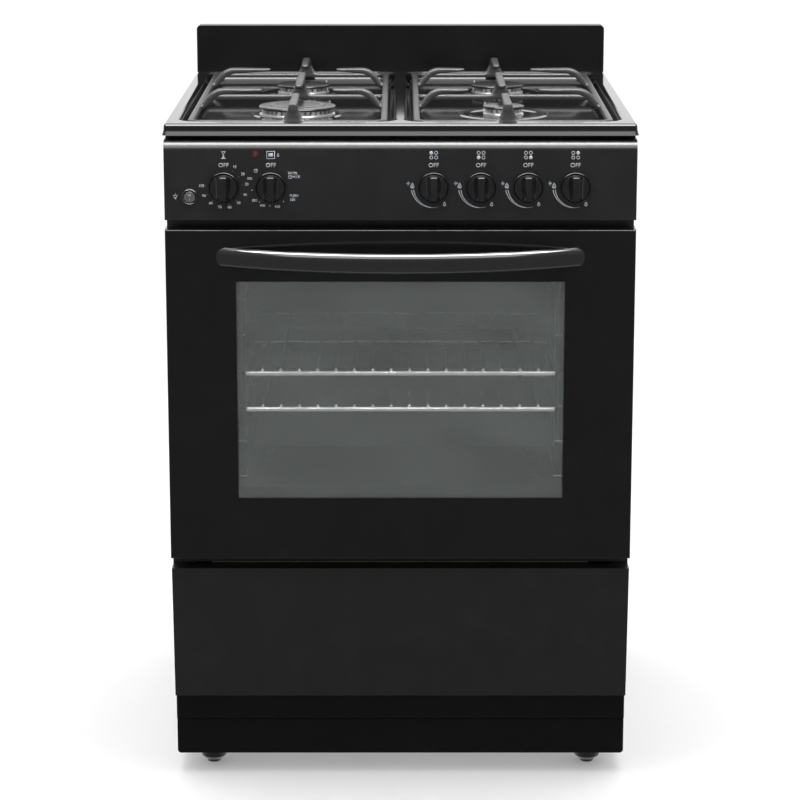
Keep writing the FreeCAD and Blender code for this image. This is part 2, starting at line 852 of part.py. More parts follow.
def knob_body(x):
    """Round skirt, low face and an upright grip blade, without any bore."""
    rear = panel_face_y - knob_gap
    skirt_front = knob_skirt_thickness
    disc = turned([(0, 0), (knob_radius, 0), (knob_radius, skirt_front - 1),
                   (knob_radius - 1, skirt_front), (knob_face_radius, skirt_front),
                   (knob_face_radius - 2, skirt_front + knob_face_height),
                   (0, skirt_front + knob_face_height)], (x, rear, z_knob), -Y)
    front = rear - skirt_front - knob_blade_height
    blade = box(x - knob_blade_width / 2, x + knob_blade_width / 2, front, rear - 1,
                z_knob - knob_face_radius + 1, z_knob + knob_face_radius - 1)
    blade = round_edges(blade, 2.5, lambda edge: edge.CenterOfMass.y < front + 0.1)
    return disc.fuse(blade)


def bored_knob(x):
    """Knob that slides on its spindle."""
    rear = panel_face_y - knob_gap
    bore_end = rear - spindle_engagement - spindle_free_end
    return knob_body(x).cut(d_shaft(x, bore_end, rear + 1, running_clearance))


def timer_knob(x):
    """Knob with its own short shaft, which turns in the timer's movement."""
    shaft_end = panel_face_y + sheet + timer_length / 2
    return knob_body(x).fuse(d_shaft(x, panel_face_y - knob_gap - 2, shaft_end, 0.0))


def spindle(x):
    """D-section spindle: one end in the knob, the other in the valve."""
    start = panel_face_y - knob_gap - spindle_engagement
    return d_shaft(x, start, start + spindle_length_inside, 0.0)


def spindle_bore(x):
    """Round bore in a valve, a little deeper than the spindle's end."""
    end = panel_face_y - knob_gap - spindle_engagement + spindle_length_inside
    return rod((x, depth(valve_front_depth) - 1, z_knob), (x, end + 1, z_knob),
               spindle_radius + running_clearance)


def manifold_tube():
    """Straight run of the manifold, for cutting saddles into the valves."""
    return rod((-half, depth(manifold_depth), z_knob), (half, depth(manifold_depth), z_knob),
               manifold_radius)


def burner_valves():
    """Four brass taps that sit on the manifold."""
    valves = []
    for number in range(burner_knob_count):
        x = knob_x["knob_burner_" + str(number + 1)]
        front = depth(valve_front_depth)
        body = box(x - valve_width / 2, x + valve_width / 2, front, front + valve_length,
                   z_knob - valve_height / 2, z_knob + valve_height / 2)
        tail = rod((x, front + valve_length, z_knob), (x, depth(manifold_depth), z_knob),
                   valve_tail_radius)
        outlet = rod((x, front + valve_length / 2, z_knob + valve_height / 2 - 1),
                     (x, front + valve_length / 2, z_knob + valve_height / 2 + valve_outlet_length),
                     valve_outlet_radius)
        valves.append(body.multiFuse([tail, outlet]).cut([manifold_tube(), spindle_bore(x)]))
    return Part.makeCompound(valves)


def oven_thermostat():
    """Oven tap with its temperature bulb's boss, on the manifold."""
    x = knob_x["knob_oven"]
    front = depth(valve_front_depth)
    side = thermostat_size / 2
    body = box(x - side, x + side, front, front + valve_length, z_knob - side, z_knob + side)
    tail = rod((x, front + valve_length, z_knob), (x, depth(manifold_depth), z_knob),
                   valve_tail_radius)
    boss = rod((x, front + valve_length / 2, z_knob + side - 1),
               (x, front + valve_length / 2, z_knob + side + thermostat_boss_length),
               thermostat_boss_radius)
    return body.multiFuse([tail, boss]).cut([manifold_tube(), spindle_bore(x)])


def timer_movement():
    """Clockwork timer on the back of the control panel."""
    x = knob_x["knob_timer"]
    front = panel_face_y + sheet
    case = rod((x, front, z_knob), (x, front + timer_length, z_knob), timer_radius)
    bore = rod((x, front - 1, z_knob), (x, front + timer_length / 2 + 1, z_knob),
               spindle_radius + running_clearance)
    return case.cut(bore)


def gas_manifold():
    """Supply pipe behind the panel, back along the right side and out at the rear."""
    x, z = inlet_place()
    left = (knob_x["knob_oven"] - thermostat_size / 2, depth(manifold_depth), z)
    corner = (x, depth(manifold_depth), z)
    thread_start = back_y - inlet_length
    pipe = bent_rod([left, corner, (x, thread_start - 2, z)], manifold_radius, pipe_elbow_wall)
    collar = rod((x, thread_start - inlet_collar_length, z), (x, thread_start, z), inlet_collar_radius)
    thread = rod((x, thread_start - 1, z), (x, back_y, z), inlet_radius)
    return pipe.multiFuse([collar, thread])


def rocker_pivot():
    """Centre of the rocker's tilting axis."""
    x, z = switch_place()
    return Vector(x, panel_face_y - 1.0, z)


def rocker_frame():
    """Round switch body with a front flange and a cup for the rocker."""
    x, z = switch_place()
    flange = rod((x, panel_face_y - 2.4, z), (x, panel_face_y, z), rocker_frame_radius)
    body = rod((x, panel_face_y - 1, z), (x, panel_face_y + rocker_body_length, z), rocker_body_radius)
    cup = rod((x, panel_face_y - 3, z), (x, panel_face_y + 5, z), rocker_bore)
    return flange.fuse(body).cut(cup)


def rocker_switch():
    """Round rocker, tipped to its off side."""
    pivot = rocker_pivot()
    face = turned([(0, -rocker_thickness / 2), (rocker_radius, -rocker_thickness / 2),
                   (rocker_radius, rocker_thickness / 2 - 0.6),
                   (rocker_radius - 0.6, rocker_thickness / 2), (0, rocker_thickness / 2)],
                  (pivot.x, pivot.y, pivot.z), -Y)
    face.rotate(pivot, X, rocker_tilt)
    return face


def pilot_lamp():
    """Small round lens with a shank through the panel."""
    x, z = lamp_place()
    return turned([(0, -lamp_length + 1), (lamp_radius, -lamp_length + 1), (lamp_radius, 0),
                   (lamp_radius + 0.8, 0), (lamp_radius + 0.5, 1.0), (0, 1.6)],
                  (x, panel_face_y, z), -Y)


# ------------------------------------------------------------------ oven
def oven_liner():
    """Enamelled cavity box with the face frame that closes the cabinet's front."""
    outer = box(-cavity_half - sheet, cavity_half + sheet, frame_y, cavity_rear + sheet,
                z_well - sheet, z_cavity_top + sheet)
    hollow = box(-cavity_half, cavity_half, shell_front, cavity_rear, z_well, z_cavity_top)
    frame = box(-half, half, frame_y, shell_front, z_drawer_top + 2, z_panel - 2)
    mouth = box(-cavity_half, cavity_half, frame_y - 1, shell_front + 1, z_cavity, z_cavity_top)
    slots = [hinge_frame_slot(), mirrored(hinge_frame_slot())]
    shape = outer.fuse(frame).cut([hollow, mouth] + slots)
    return shape.cut(burner_inlet_holes(cavity_rear - 5, cavity_rear + 5, fit_clearance))


def burner_inlet_holes(y0, y1, clearance):
    """Rear holes for the oven burners' supply tubes."""
    heights = (z_well + bake_rise, z_cavity_top - broil_drop)
    return [rod((0, y0, z), (0, y1, z), supply_tube_radius + clearance) for z in heights]


def insulation_wrap():
    """Mineral wool round the cavity, open at the front."""
    thick = insulation_thickness
    outer = box(-cavity_half - sheet - thick, cavity_half + sheet + thick, shell_front + sheet,
                cavity_rear + sheet + thick, z_well - sheet - thick, z_cavity_top + sheet + thick)
    inner = box(-cavity_half - sheet, cavity_half + sheet, shell_front, cavity_rear + sheet,
                z_well - sheet, z_cavity_top + sheet)
    holes = burner_inlet_holes(cavity_rear - 5, cavity_rear + thick + 5, fit_clearance)
    return outer.cut([inner] + holes)


def oven_floor_plate():
    """Loose plate above the bake burner, on two folded sides, with heat slots along its edges."""
    side = cavity_half - floor_plate_clearance
    front = shell_front + floor_plate_clearance
    rear = cavity_rear - floor_plate_clearance
    thick = floor_plate_thickness
    plate = box(-side, side, front, rear, z_cavity, z_cavity + thick)
    legs = [box(-side, -side + thick, front, rear, z_well, z_cavity + thick),
            box(side - thick, side, front, rear, z_well, z_cavity + thick)]
    slots = []
    pitch = (rear - front) / heat_slot_count
    for index in range(heat_slot_count):
        y = front + (index + 0.5) * pitch
        for x in (-side + heat_slot_inset, side - heat_slot_inset - heat_slot_width):
            slots.append(box(x, x + heat_slot_width, y - pitch / 4, y + pitch / 4, z_cavity - 1,
                             z_cavity + 5))
    return plate.multiFuse(legs).cut(slots)


def oven_burner(z):
    """Supply tube through the rear wall to a cross tube with two legs running forward."""
    spread = oven_tube_spread / 2
    front = shell_front + oven_tube_end_inset
    rear = cavity_rear - oven_tube_end_inset
    supply_end = cavity_rear + insulation_thickness + supply_overrun
    supply = rod((0, supply_end, z), (0, rear, z), supply_tube_radius)
    legs = bent_rod([(-spread, front, z), (-spread, rear, z), (spread, rear, z), (spread, front, z)],
                    oven_tube_radius, oven_elbow_wall)
    return supply.fuse(legs)


def bake_burner():
    """Burner below the oven's floor plate."""
    return oven_burner(z_well + bake_rise)


def broil_burner():
    """Burner below the cavity's top, with its heat plate on four studs."""
    z = z_cavity_top - broil_drop
    top = z_cavity_top - broil_plate_gap
    spread = oven_tube_spread / 2
    front = shell_front + oven_tube_end_inset
    rear = cavity_rear - oven_tube_end_inset
    side = spread + broil_plate_overhang
    plate = box(-side, side, front - broil_plate_front, rear + broil_plate_rear,
                top - broil_plate_thickness, top)
    studs = [rod((x, y, z), (x, y, top - 1), broil_stud_radius)
             for x in (-spread, spread) for y in (front + broil_stud_inset, rear - broil_stud_inset)]
    return oven_burner(z).multiFuse([plate] + studs)


def level_height(level):
    """Height of a rack's frame rods when it sits on this level."""
    return z_cavity + rack_first_level + level * rack_level_pitch


def rack_ladders():
    """Wire rack supports on both side walls."""
    wall_x = cavity_half - ladder_wall_clearance - ladder_rod_radius
    rail_x = rack_half - rack_rod_radius + 1.0
    radius = ladder_rod_radius
    low = level_height(0) - ladder_overrun
    high = level_height(rack_levels - 1) + ladder_overrun
    pieces = []
    for y in (ladder_front_y, ladder_rear_y):
        pieces.append(rod((wall_x, y, low), (wall_x, y, high), radius))
        for z in (low + ladder_pin_inset, high - ladder_pin_inset):
            pieces.append(rod((wall_x, y, z), (cavity_half, y, z), radius - 0.5))
    for level in range(rack_levels):
        z = level_height(level) - rack_rod_radius - rack_rest_clearance - radius
        pieces.append(bent_rod([(wall_x, ladder_front_y, z), (rail_x, ladder_front_y, z),
                                (rail_x, ladder_rear_y, z), (wall_x, ladder_rear_y, z)], radius))
    right = pieces[0].multiFuse(pieces[1:])
    return Part.makeCompound([right, mirrored(right)])


def oven_rack(level):
    """Chromed rack: a rod frame, a middle rod and wires from front to back."""
    z = level_height(level)
    side = rack_half - rack_rod_radius
    frame = [(side, rack_front_y), (-side, rack_front_y), (-side, rack_rear_y), (side, rack_rear_y)]
    corners = [(x, y, z) for x, y in frame]
    pieces = [bent_rod(corners + corners[:1], rack_rod_radius), ball(corners[0], rack_rod_radius)]
    middle = (rack_front_y + rack_rear_y) / 2
    pieces.append(rod((-side, middle, z), (side, middle, z), rack_rod_radius))
    wire_z = z + rack_rod_radius + rack_wire_radius - weld_depth
    count = int(2 * side / rack_wire_pitch) - 1
    pitch = 2 * side / (count + 1)
    for index in range(count):
        x = -side + (index + 1) * pitch
        pieces.append(rod((x, rack_front_y - 1, wire_z), (x, rack_rear_y + 1, wire_z), rack_wire_radius))
    return pieces[0].multiFuse(pieces[1:])


def broiler_pan():
    """Deep enamelled pan with a rolled rim, on the lower rack."""
    base = level_height(lower_rack_level) - rack_rod_radius + rack_height + rack_rest_clearance
    side = pan_width / 2 - pan_rim
    inner_front = pan_front_y + pan_rim
    inner_rear = pan_rear_y - pan_rim
    body = rounded_block(-side, side, inner_front, inner_rear, base, base + pan_depth, pan_corner_radius)
    rim_z = base + pan_depth - 2 * pan_sheet
    rim = rounded_block(-side - pan_rim, side + pan_rim, pan_front_y, pan_rear_y, rim_z, base + pan_depth,
                        pan_corner_radius + pan_rim)
    hollow = rounded_block(-side + pan_sheet, side - pan_sheet, inner_front + pan_sheet,
                           inner_rear - pan_sheet, base + pan_sheet, base + pan_depth + 1,
                           pan_corner_radius - pan_sheet)
    return body.fuse(rim).cut(hollow)


# ------------------------------------------------------------------ door
def hinge_frame_slot():
    """Slot in the face frame for the right hinge's arm."""
    reach = hinge_arm_thickness / 2 + fit_clearance
    return box(hinge_x - reach, hinge_x + reach, frame_y - 1, shell_front + 1,
               hinge_z - hinge_eye_radius - fit_clearance, hinge_z + hinge_eye_radius + fit_clearance)


def hinge_arms():
    """Fixed arms with the door's hinge pins, each on a receiver inside the cabinet."""
    half_arm = hinge_arm_thickness / 2
    eye = rod((hinge_x - half_arm, hinge_y, hinge_z), (hinge_x + half_arm, hinge_y, hinge_z),
              hinge_eye_radius)
    arm = box(hinge_x - half_arm, hinge_x + half_arm, hinge_y, shell_front + hinge_arm_overlap,
              hinge_z - hinge_eye_radius, hinge_z + hinge_eye_radius)
    wide = hinge_receiver_half_width
    high = hinge_receiver_half_height
    receiver = box(hinge_x - wide, hinge_x + wide, shell_front, shell_front + hinge_receiver_length,
                   hinge_z - high, hinge_z + high)
    pin_reach = hinge_ear_gap + hinge_ear_thickness + 1
    pin = rod((hinge_x - pin_reach, hinge_y, hinge_z), (hinge_x + pin_reach, hinge_y, hinge_z),
              hinge_pin_radius)
    right = eye.multiFuse([arm, receiver, pin])
    return Part.makeCompound([right, mirrored(right)])


def hinge_sweep():
    """Room in the door for the right arm while the door swings."""
    reach = hinge_arm_thickness / 2 + hinge_slot_clearance
    return box(hinge_x - reach, hinge_x + reach, hinge_y - hinge_eye_radius - 2, door_rear_y + 1,
               z_door - 1, hinge_z + hinge_eye_radius + 2)


def window(grow_side, grow_up, grow_down):
    """X and Z limits of the door's window, grown or shrunk."""
    return (-half + window_side_margin - grow_side, half - window_side_margin + grow_side,
            z_door + window_bottom_margin - grow_down, z_door_top - window_top_margin + grow_up)


def liner_plate_y():
    """Front of the door liner's sheet."""
    return door_rear_y - door_plateau_height - sheet


def door_outer_panel():
    """Front skin of the door with its folded sides and the window opening."""
    outer = box(-half, half, door_face_y, liner_plate_y(), z_door, z_door_top)
    outer = round_edges(outer, door_edge_radius, lambda edge: edge.CenterOfMass.y < door_face_y + 0.1)
    hollow = box(-half + sheet, half - sheet, door_face_y + sheet, door_rear_y, z_door + sheet,
                 z_door_top - sheet)
    x0, x1, z0, z1 = window(0, 0, 0)
    opening = box(x0, x1, door_face_y - 1, door_face_y + 5, z0, z1)
    return outer.cut([hollow, opening, hinge_sweep(), mirrored(hinge_sweep())])


def door_outer_glass():
    """Outer pane, held behind the front skin."""
    x0, x1, z0, z1 = window(glass_overlap, glass_overlap, glass_overlap)
    front = door_face_y + sheet
    return box(x0, x1, front, front + glass_thickness, z0, z1)


def door_inner_glass():
    """Inner pane, held against the liner's raised middle."""
    x0, x1, z0, z1 = window(glass_overlap, glass_overlap, glass_overlap)
    rear = door_rear_y - sheet
    return box(x0, x1, rear - glass_thickness, rear, z0, z1)


def door_liner():
    """Inner skin: a flat sheet with a raised middle, its window, and the hinge ears."""
    front = liner_plate_y()
    plate = box(-half, half, front, front + sheet, z_door, z_door_top)
    x = half - door_plateau_side_margin
    z0 = z_door + door_plateau_margin
    z1 = z_door_top - door_plateau_margin
    plateau = box(-x, x, front, door_rear_y, z0, z1)
    pocket = box(-x + sheet, x - sheet, front - 1, door_rear_y - sheet, z0 + sheet, z1 - sheet)
    wx0, wx1, wz0, wz1 = window(0, 0, -liner_window_drop)
    opening = box(wx0, wx1, front - 1, door_rear_y + 1, wz0, wz1)
    ears = []
    for offset in (-hinge_ear_gap - hinge_ear_thickness, hinge_ear_gap):
        ears.append(box(hinge_x + offset, hinge_x + offset + hinge_ear_thickness,
                        hinge_y - hinge_eye_radius, front + sheet / 2, z_door + 2 * sheet,
                        hinge_z + hinge_eye_radius + hinge_ear_top))
    bore = rod((hinge_x - 20, hinge_y, hinge_z), (hinge_x + 20, hinge_y, hinge_z),
               hinge_pin_radius + running_clearance)
    shape = plate.fuse(plateau).cut([pocket, opening])
    shape = shape.multiFuse(ears + [mirrored(ear) for ear in ears])
    return shape.cut([hinge_sweep(), mirrored(hinge_sweep()), bore, mirrored(bore)])


def door_gasket():
    """Heat seal round the cavity's mouth, on the face frame."""
    x = cavity_half + gasket_mouth_gap
    z0 = z_cavity - gasket_mouth_gap
    z1 = z_cavity_top + gasket_mouth_gap
    front = door_rear_y + gasket_gap
    width = gasket_width
    ring = rounded_block(-x - width, x + width, front, frame_y, z0 - width, z1 + width, 1.0)
    return ring.cut(box(-x, x, front - 1, frame_y + 1, z0, z1))


def door_handle():
    """Bar bowed outwards in plan, of oval section, that meets the door at both ends."""
    inner_reach = handle_reach - handle_bar_thickness / 2
    radius = (handle_half_span ** 2 + inner_reach ** 2) / (2 * inner_reach)
    centre_y = door_face_y - inner_reach + radius
    z = z_door_top - handle_below_door_top
    section = Part.Ellipse(Vector(0, 0, 0), handle_bar_height / 2, handle_bar_thickness / 2).toShape()
    face = Part.Face(Part.Wire([section]))
    face.rotate(Vector(0, 0, 0), Y, -90)
    face.translate(Vector(0, centre_y - radius, z))
    sweep = math.degrees(math.asin(handle_half_span / radius)) + 1.5
    pivot = Vector(0, centre_y, z)
    face.rotate(pivot, Z, -sweep)
    bar = face.revolve(pivot, Z, 2 * sweep)
    behind = box(-half, half, door_face_y, door_face_y + 100, z - 50, z + 50)
    return bar.cut(behind)


# ------------------------------------------------------------------ drawer
def drawer_front():
    """Drawer face that leans back towards its foot, folded from one sheet."""
    top_y = depth(drawer_top_depth)
    foot_y = top_y + drawer_rake
    wall = drawer_sheet
    outline = [(top_y, z_drawer_top), (drawer_back_y, z_drawer_top), (drawer_back_y, z_drawer),
               (foot_y, z_drawer)]
    inner = [(top_y + wall, z_drawer_top - wall), (drawer_back_y + 1, z_drawer_top - wall),
             (drawer_back_y + 1, z_drawer + wall), (foot_y + wall, z_drawer + wall)]
    skin = side_prism(outline, -half, half)
    return skin.cut(side_prism(inner, -half + wall, half - wall))


def drawer_tray():
    """Open steel box behind the drawer's face, with a runner folded out on each side."""
    front = drawer_back_y
    rear = front + tray_length
    outer = box(-tray_half, tray_half, front, rear, z_tray, z_tray + tray_height)
    inner = box(-tray_half + sheet, tray_half - sheet, front + sheet, rear - sheet, z_tray + sheet,
                z_tray + tray_height + 1)
    runner_z = tray_lip_z + runner_thickness + runner_clearance
    runners = []
    for side in (-1, 1):
        x0, x1 = sorted((side * (tray_half - sheet / 2), side * (tray_half + tray_runner_width)))
        runners.append(box(x0, x1, shell_front + 10, rear, runner_z,
                           runner_z + runner_thickness))
    return outer.cut(inner).multiFuse(runners)


def drawer_rails():
    """Fixed L-section runner rails, from the side panels' front edges to the back panel."""
    web_x = half - side_flange
    lip_inner = tray_half + rail_tray_gap
    rail = box(web_x - runner_thickness, web_x, shell_front + sheet, shell_rear - 2 * sheet, tray_lip_z,
               tray_lip_z + rail_web_height)
    lip = box(lip_inner, web_x, shell_front + sheet, shell_rear - 2 * sheet, tray_lip_z,
              tray_lip_z + runner_thickness)
    tab = box(web_x - runner_thickness, web_x + rail_tab_width, shell_front + sheet,
              shell_front + 2 * sheet, tray_lip_z, tray_lip_z + rail_web_height)
    right = rail.multiFuse([lip, tab])
    return Part.makeCompound([right, mirrored(right)])


def cable_gland():
    """Gland in the back panel for the supply lead."""
    x, z = gland_place()
    rear = shell_rear - sheet
    body = rod((x, rear - gland_length + 3, z), (x, rear + 3, z), gland_radius)
    flange = rod((x, rear, z), (x, rear + 3, z), gland_flange_radius)
    bore = rod((x, rear - gland_length, z), (x, rear + 5, z), gland_bore_radius)
    return body.fuse(flange).cut(bore)


# ------------------------------------------------------------------ nodes
def all_nodes():
    """Every node's shape, by name."""
    right_side = side_panel()
    right_grate = grate_right()
    nodes = {
        "side_panel_left": mirrored(right_side),
        "side_panel_right": right_side,
        "back_panel": back_panel(),
        "body_screws": body_screws(),
        "base_frame": base_frame(),
        "kick_panel": kick_panel(),
        "lower_rail": lower_rail(),
        "hob_top": hob_top(),
        "backguard": backguard(),
        "control_panel": control_panel(),
        "burner_valves": burner_valves(),
        "oven_thermostat": oven_thermostat(),
        "timer_movement": timer_movement(),
        "gas_manifold": gas_manifold(),
        "rocker_frame": rocker_frame(),
        "rocker_switch": rocker_switch(),
        "pilot_lamp": pilot_lamp(),
        "spark_electrodes": spark_electrodes(),
        "burner_crowns": Part.makeCompound([burner_crown(name) for name in burner_place]),
        "oven_liner": oven_liner(),
        "insulation_wrap": insulation_wrap(),
        "oven_floor_plate": oven_floor_plate(),
        "bake_burner": bake_burner(),
        "broil_burner": broil_burner(),
        "rack_ladders": rack_ladders(),
        "rack_lower": oven_rack(lower_rack_level),
        "rack_upper": oven_rack(upper_rack_level),
        "broiler_pan": broiler_pan(),
        "hinge_arms": hinge_arms(),
        "door_outer_panel": door_outer_panel(),
        "door_outer_glass": door_outer_glass(),
        "door_inner_glass": door_inner_glass(),
        "door_liner": door_liner(),
        "door_gasket": door_gasket(),
        "door_handle": door_handle(),
        "drawer_front": drawer_front(),
        "drawer_tray": drawer_tray(),
        "drawer_rails": drawer_rails(),
        "cable_gland": cable_gland(),
        "grate_left": mirrored(right_grate),
        "grate_right": right_grate,
        "knob_timer": timer_knob(knob_x["knob_timer"]),
    }
    for name in pushing_knobs:
        nodes[name] = bored_knob(knob_x[name])
        nodes[name.replace("knob_", "spindle_")] = spindle(knob_x[name])
    for name in burner_place:
        nodes["burner_cap_" + name] = burner_cap(name)
    for name, (x, y) in foot_places().items():
        nodes[name] = foot(x, y)
    return nodes


def main():
    """Write one STEP file for each node."""
    os.makedirs("parts", exist_ok=True)
    for name, shape in all_nodes().items():
        if not shape.isValid():
            raise RuntimeError(name + " is not a valid shape")
        shape.exportStep("parts/" + name + ".step")


main()
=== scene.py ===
"""Looks of the freestanding gas range: finishes for its CAD nodes, its moulded and cast pieces, and a stage.

Metres, in the frame of the CAD model: +X is the range's right as seen from the front, +Y runs to the
back, +Z is up, and the origin lies on the floor under the middle of the range.
"""
import json
import math

import bmesh
import bpy
import numpy as np
from bpy.props import FloatProperty, FloatVectorProperty, IntProperty, PointerProperty
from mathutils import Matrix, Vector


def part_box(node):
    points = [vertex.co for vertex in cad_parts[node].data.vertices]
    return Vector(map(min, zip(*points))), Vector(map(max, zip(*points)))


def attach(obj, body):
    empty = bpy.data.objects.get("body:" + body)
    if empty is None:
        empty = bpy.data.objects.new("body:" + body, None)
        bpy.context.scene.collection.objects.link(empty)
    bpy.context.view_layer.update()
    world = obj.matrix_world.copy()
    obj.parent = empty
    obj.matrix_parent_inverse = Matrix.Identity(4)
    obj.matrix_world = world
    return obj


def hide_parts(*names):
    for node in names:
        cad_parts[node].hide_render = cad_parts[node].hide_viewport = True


bl_info = {
    "name": "Gas range looks",
    "version": (1, 0, 0),
    "blender": (4, 5, 0),
    "location": "3D View > Sidebar > Range",
    "description": "Finishes, cast grates, knobs, handle, printing and stage for a gas range",
    "category": "Object",
}

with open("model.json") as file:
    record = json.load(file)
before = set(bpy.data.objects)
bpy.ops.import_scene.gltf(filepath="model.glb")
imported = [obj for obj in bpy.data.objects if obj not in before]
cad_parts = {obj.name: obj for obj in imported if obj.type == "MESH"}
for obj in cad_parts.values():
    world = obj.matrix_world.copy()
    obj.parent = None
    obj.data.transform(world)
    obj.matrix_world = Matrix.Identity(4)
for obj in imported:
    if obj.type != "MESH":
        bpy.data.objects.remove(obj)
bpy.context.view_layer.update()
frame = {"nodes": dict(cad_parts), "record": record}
MM = 0.001


# ------------------------------------------------------------------ node materials
class Wire:
    """A node's output, on which Python's operators add Math nodes."""

    def __init__(self, finish, socket):
        self.finish = finish
        self.socket = socket

    def maths(self, operation, other):
        """One Math node of that operation on this value and another."""
        return self.finish.node("ShaderNodeMath", {"operation": operation}, {0: self, 1: other})

    def __add__(self, other):
        return self.maths("ADD", other)

    def __sub__(self, other):
        return self.maths("SUBTRACT", other)

    def __mul__(self, other):
        return self.maths("MULTIPLY", other)

    def __lt__(self, other):
        return self.maths("LESS_THAN", other)

    def limited(self):
        """The value held between 0 and 1."""
        return self.finish.node("ShaderNodeClamp", {}, {"Value": self})


class Finish:
    """A node tree under construction: a material's, or the world's."""

    def __init__(self, owner):
        self.owner = owner
        owner.use_nodes = True
        self.tree = owner.node_tree
        self.tree.nodes.clear()

    def node(self, kind, settings=None, values=None, output=0):
        """Adds a node: its settings first, then its sockets' values or links."""
        made = self.tree.nodes.new(kind)
        for key, value in (settings or {}).items():
            setattr(made, key, value)
        for key, value in (values or {}).items():
            if isinstance(value, Wire):
                self.tree.links.new(value.socket, made.inputs[key])
            else:
                made.inputs[key].default_value = value
        return Wire(self, made.outputs[output])

    def place(self, stretch=(1.0, 1.0, 1.0)):
        """Object coordinates, scaled along each axis."""
        point = self.node("ShaderNodeTexCoord", output="Object")
        if stretch == (1.0, 1.0, 1.0):
            return point
        return self.node("ShaderNodeMapping", {}, {"Vector": point, "Scale": stretch})

    def noise(self, scale, detail=2.0, stretch=(1.0, 1.0, 1.0)):
        """Cloudy value from 0 to 1, with features about 1 / scale metres wide."""
        return self.node("ShaderNodeTexNoise", {},
                         {"Vector": self.place(stretch), "Scale": scale, "Detail": detail})

    def cells(self, scale):
        """Distance to the nearest of scattered points, about 1 / scale metres apart."""
        return self.node("ShaderNodeTexVoronoi", {},
                         {"Vector": self.place(), "Scale": scale}, output="Distance")

    def mix(self, factor, first, second):
        """Colour between two colours."""
        return self.node("ShaderNodeMix", {"data_type": "RGBA"},
                         {0: factor, 6: first, 7: second}, output=2)

    def bump(self, height, distance, strength=1.0):
        """Normal of a surface raised by the height times the distance."""
        return self.node("ShaderNodeBump", {},
                         {"Height": height, "Distance": distance, "Strength": strength})

    def surface(self, values):
        """Ends a material with a Principled shader."""
        shader = self.node("ShaderNodeBsdfPrincipled", {}, values)
        self.node_output("ShaderNodeOutputMaterial", shader)
        return self.owner

    def node_output(self, kind, shader):
        """Links a shader to the tree's output."""
        made = self.tree.nodes.new(kind)
        self.tree.links.new(shader.socket, made.inputs["Surface"])


def new_material(name):
    """A new material of that name; the CAD model's plain one steps aside."""
    plain = bpy.data.materials.get(name)
    if plain:
        plain.name = "cad_" + name
    return bpy.data.materials.new(name)


def rgba(colour):
    """Linear colour with full alpha, from a tuple of three or one grey value."""
    if isinstance(colour, float):
        colour = (colour, colour, colour)
    return tuple(colour) + (1.0,)


def worked(name, colour, rough, metal=0.0, mottle=0.12, smudge=0.05, grain=0.0, grain_scale=900.0,
           stretch=(1.0, 1.0, 1.0), specks=None, speck_scale=500.0, dust=0.03, specular=0.5, glow=0.0):
    """Finish of enamel, plastic, cast or rolled metal.

    The colour drifts in broad clouds and picks up a little dust; the roughness drifts in clouds a
    hand wide; the grain is a fine noise bump, stretched along the rolling direction of sheet metal;
    specks are small flecks of a second colour at scattered points.
    """
    finish = Finish(new_material(name))
    base = np.array(rgba(colour)[:3])
    clouds = finish.noise(7.0, 3.0)
    tone = finish.mix(clouds, rgba(tuple(base * (1 - mottle))), rgba(tuple(base * (1 + mottle))))
    fine = finish.noise(grain_scale, 2.0, stretch)
    if dust:
        dusty = ((finish.noise(38.0, 4.0) - 0.45) * 2.2).limited() * dust
        tone = finish.mix(dusty, tone, rgba(0.32))
    if specks:
        fleck = finish.cells(speck_scale) < 0.16
        tone = finish.mix(fleck, tone, rgba(specks))
    roughness = (finish.noise(16.0, 3.0) - 0.5) * (2.0 * smudge) + rough
    values = {"Base Color": tone, "Roughness": roughness, "Metallic": metal,
              "Specular IOR Level": specular}
    # glow also gives the colour as emission: painted light on a part that is no lamp.
    if glow:
        values["Emission Color"] = tone
        values["Emission Strength"] = glow
    if grain:
        values["Normal"] = finish.bump(fine, grain)
    return finish.surface(values)


def hazy_glass(name, tint_and_painted_light, haze, clear):
    """Pane of glass: a dusty, slightly rough coat of gloss over a see-through share; its grey is partly the
    glass's tint and partly painted light, a veil standing in for the light seen in the window.
    """
    finish = Finish(new_material(name))
    smear = finish.noise(9.0, 4.0, (1.0, 1.0, 2.5))
    tone = finish.mix(smear, rgba(tuple(np.array(tint_and_painted_light) * 0.85)), rgba(tuple(np.array(tint_and_painted_light) * 1.15)))
    alpha = (smear - 0.5) * 0.12 + (1.0 - clear)
    material = finish.surface({"Base Color": tone, "Roughness": (smear - 0.5) * 0.03 + haze,
                               "Alpha": alpha, "Specular IOR Level": 0.5})
    material.surface_render_method = "BLENDED"
    return material


def glowing_lens(name, colour):
    """Moulded coloured lens with fine ribs, faintly lit from behind."""
    finish = Finish(new_material(name))
    ribs = finish.noise(420.0, 1.0, (1.0, 1.0, 0.1))
    tone = finish.mix(ribs, rgba(tuple(np.array(colour) * 0.6)), rgba(colour))
    return finish.surface({"Base Color": tone, "Roughness": (ribs - 0.5) * 0.1 + 0.16,
                           "Emission Color": tone, "Emission Strength": 0.03,
                           "Coat Weight": 1.0, "Normal": finish.bump(ribs, 0.0002)})


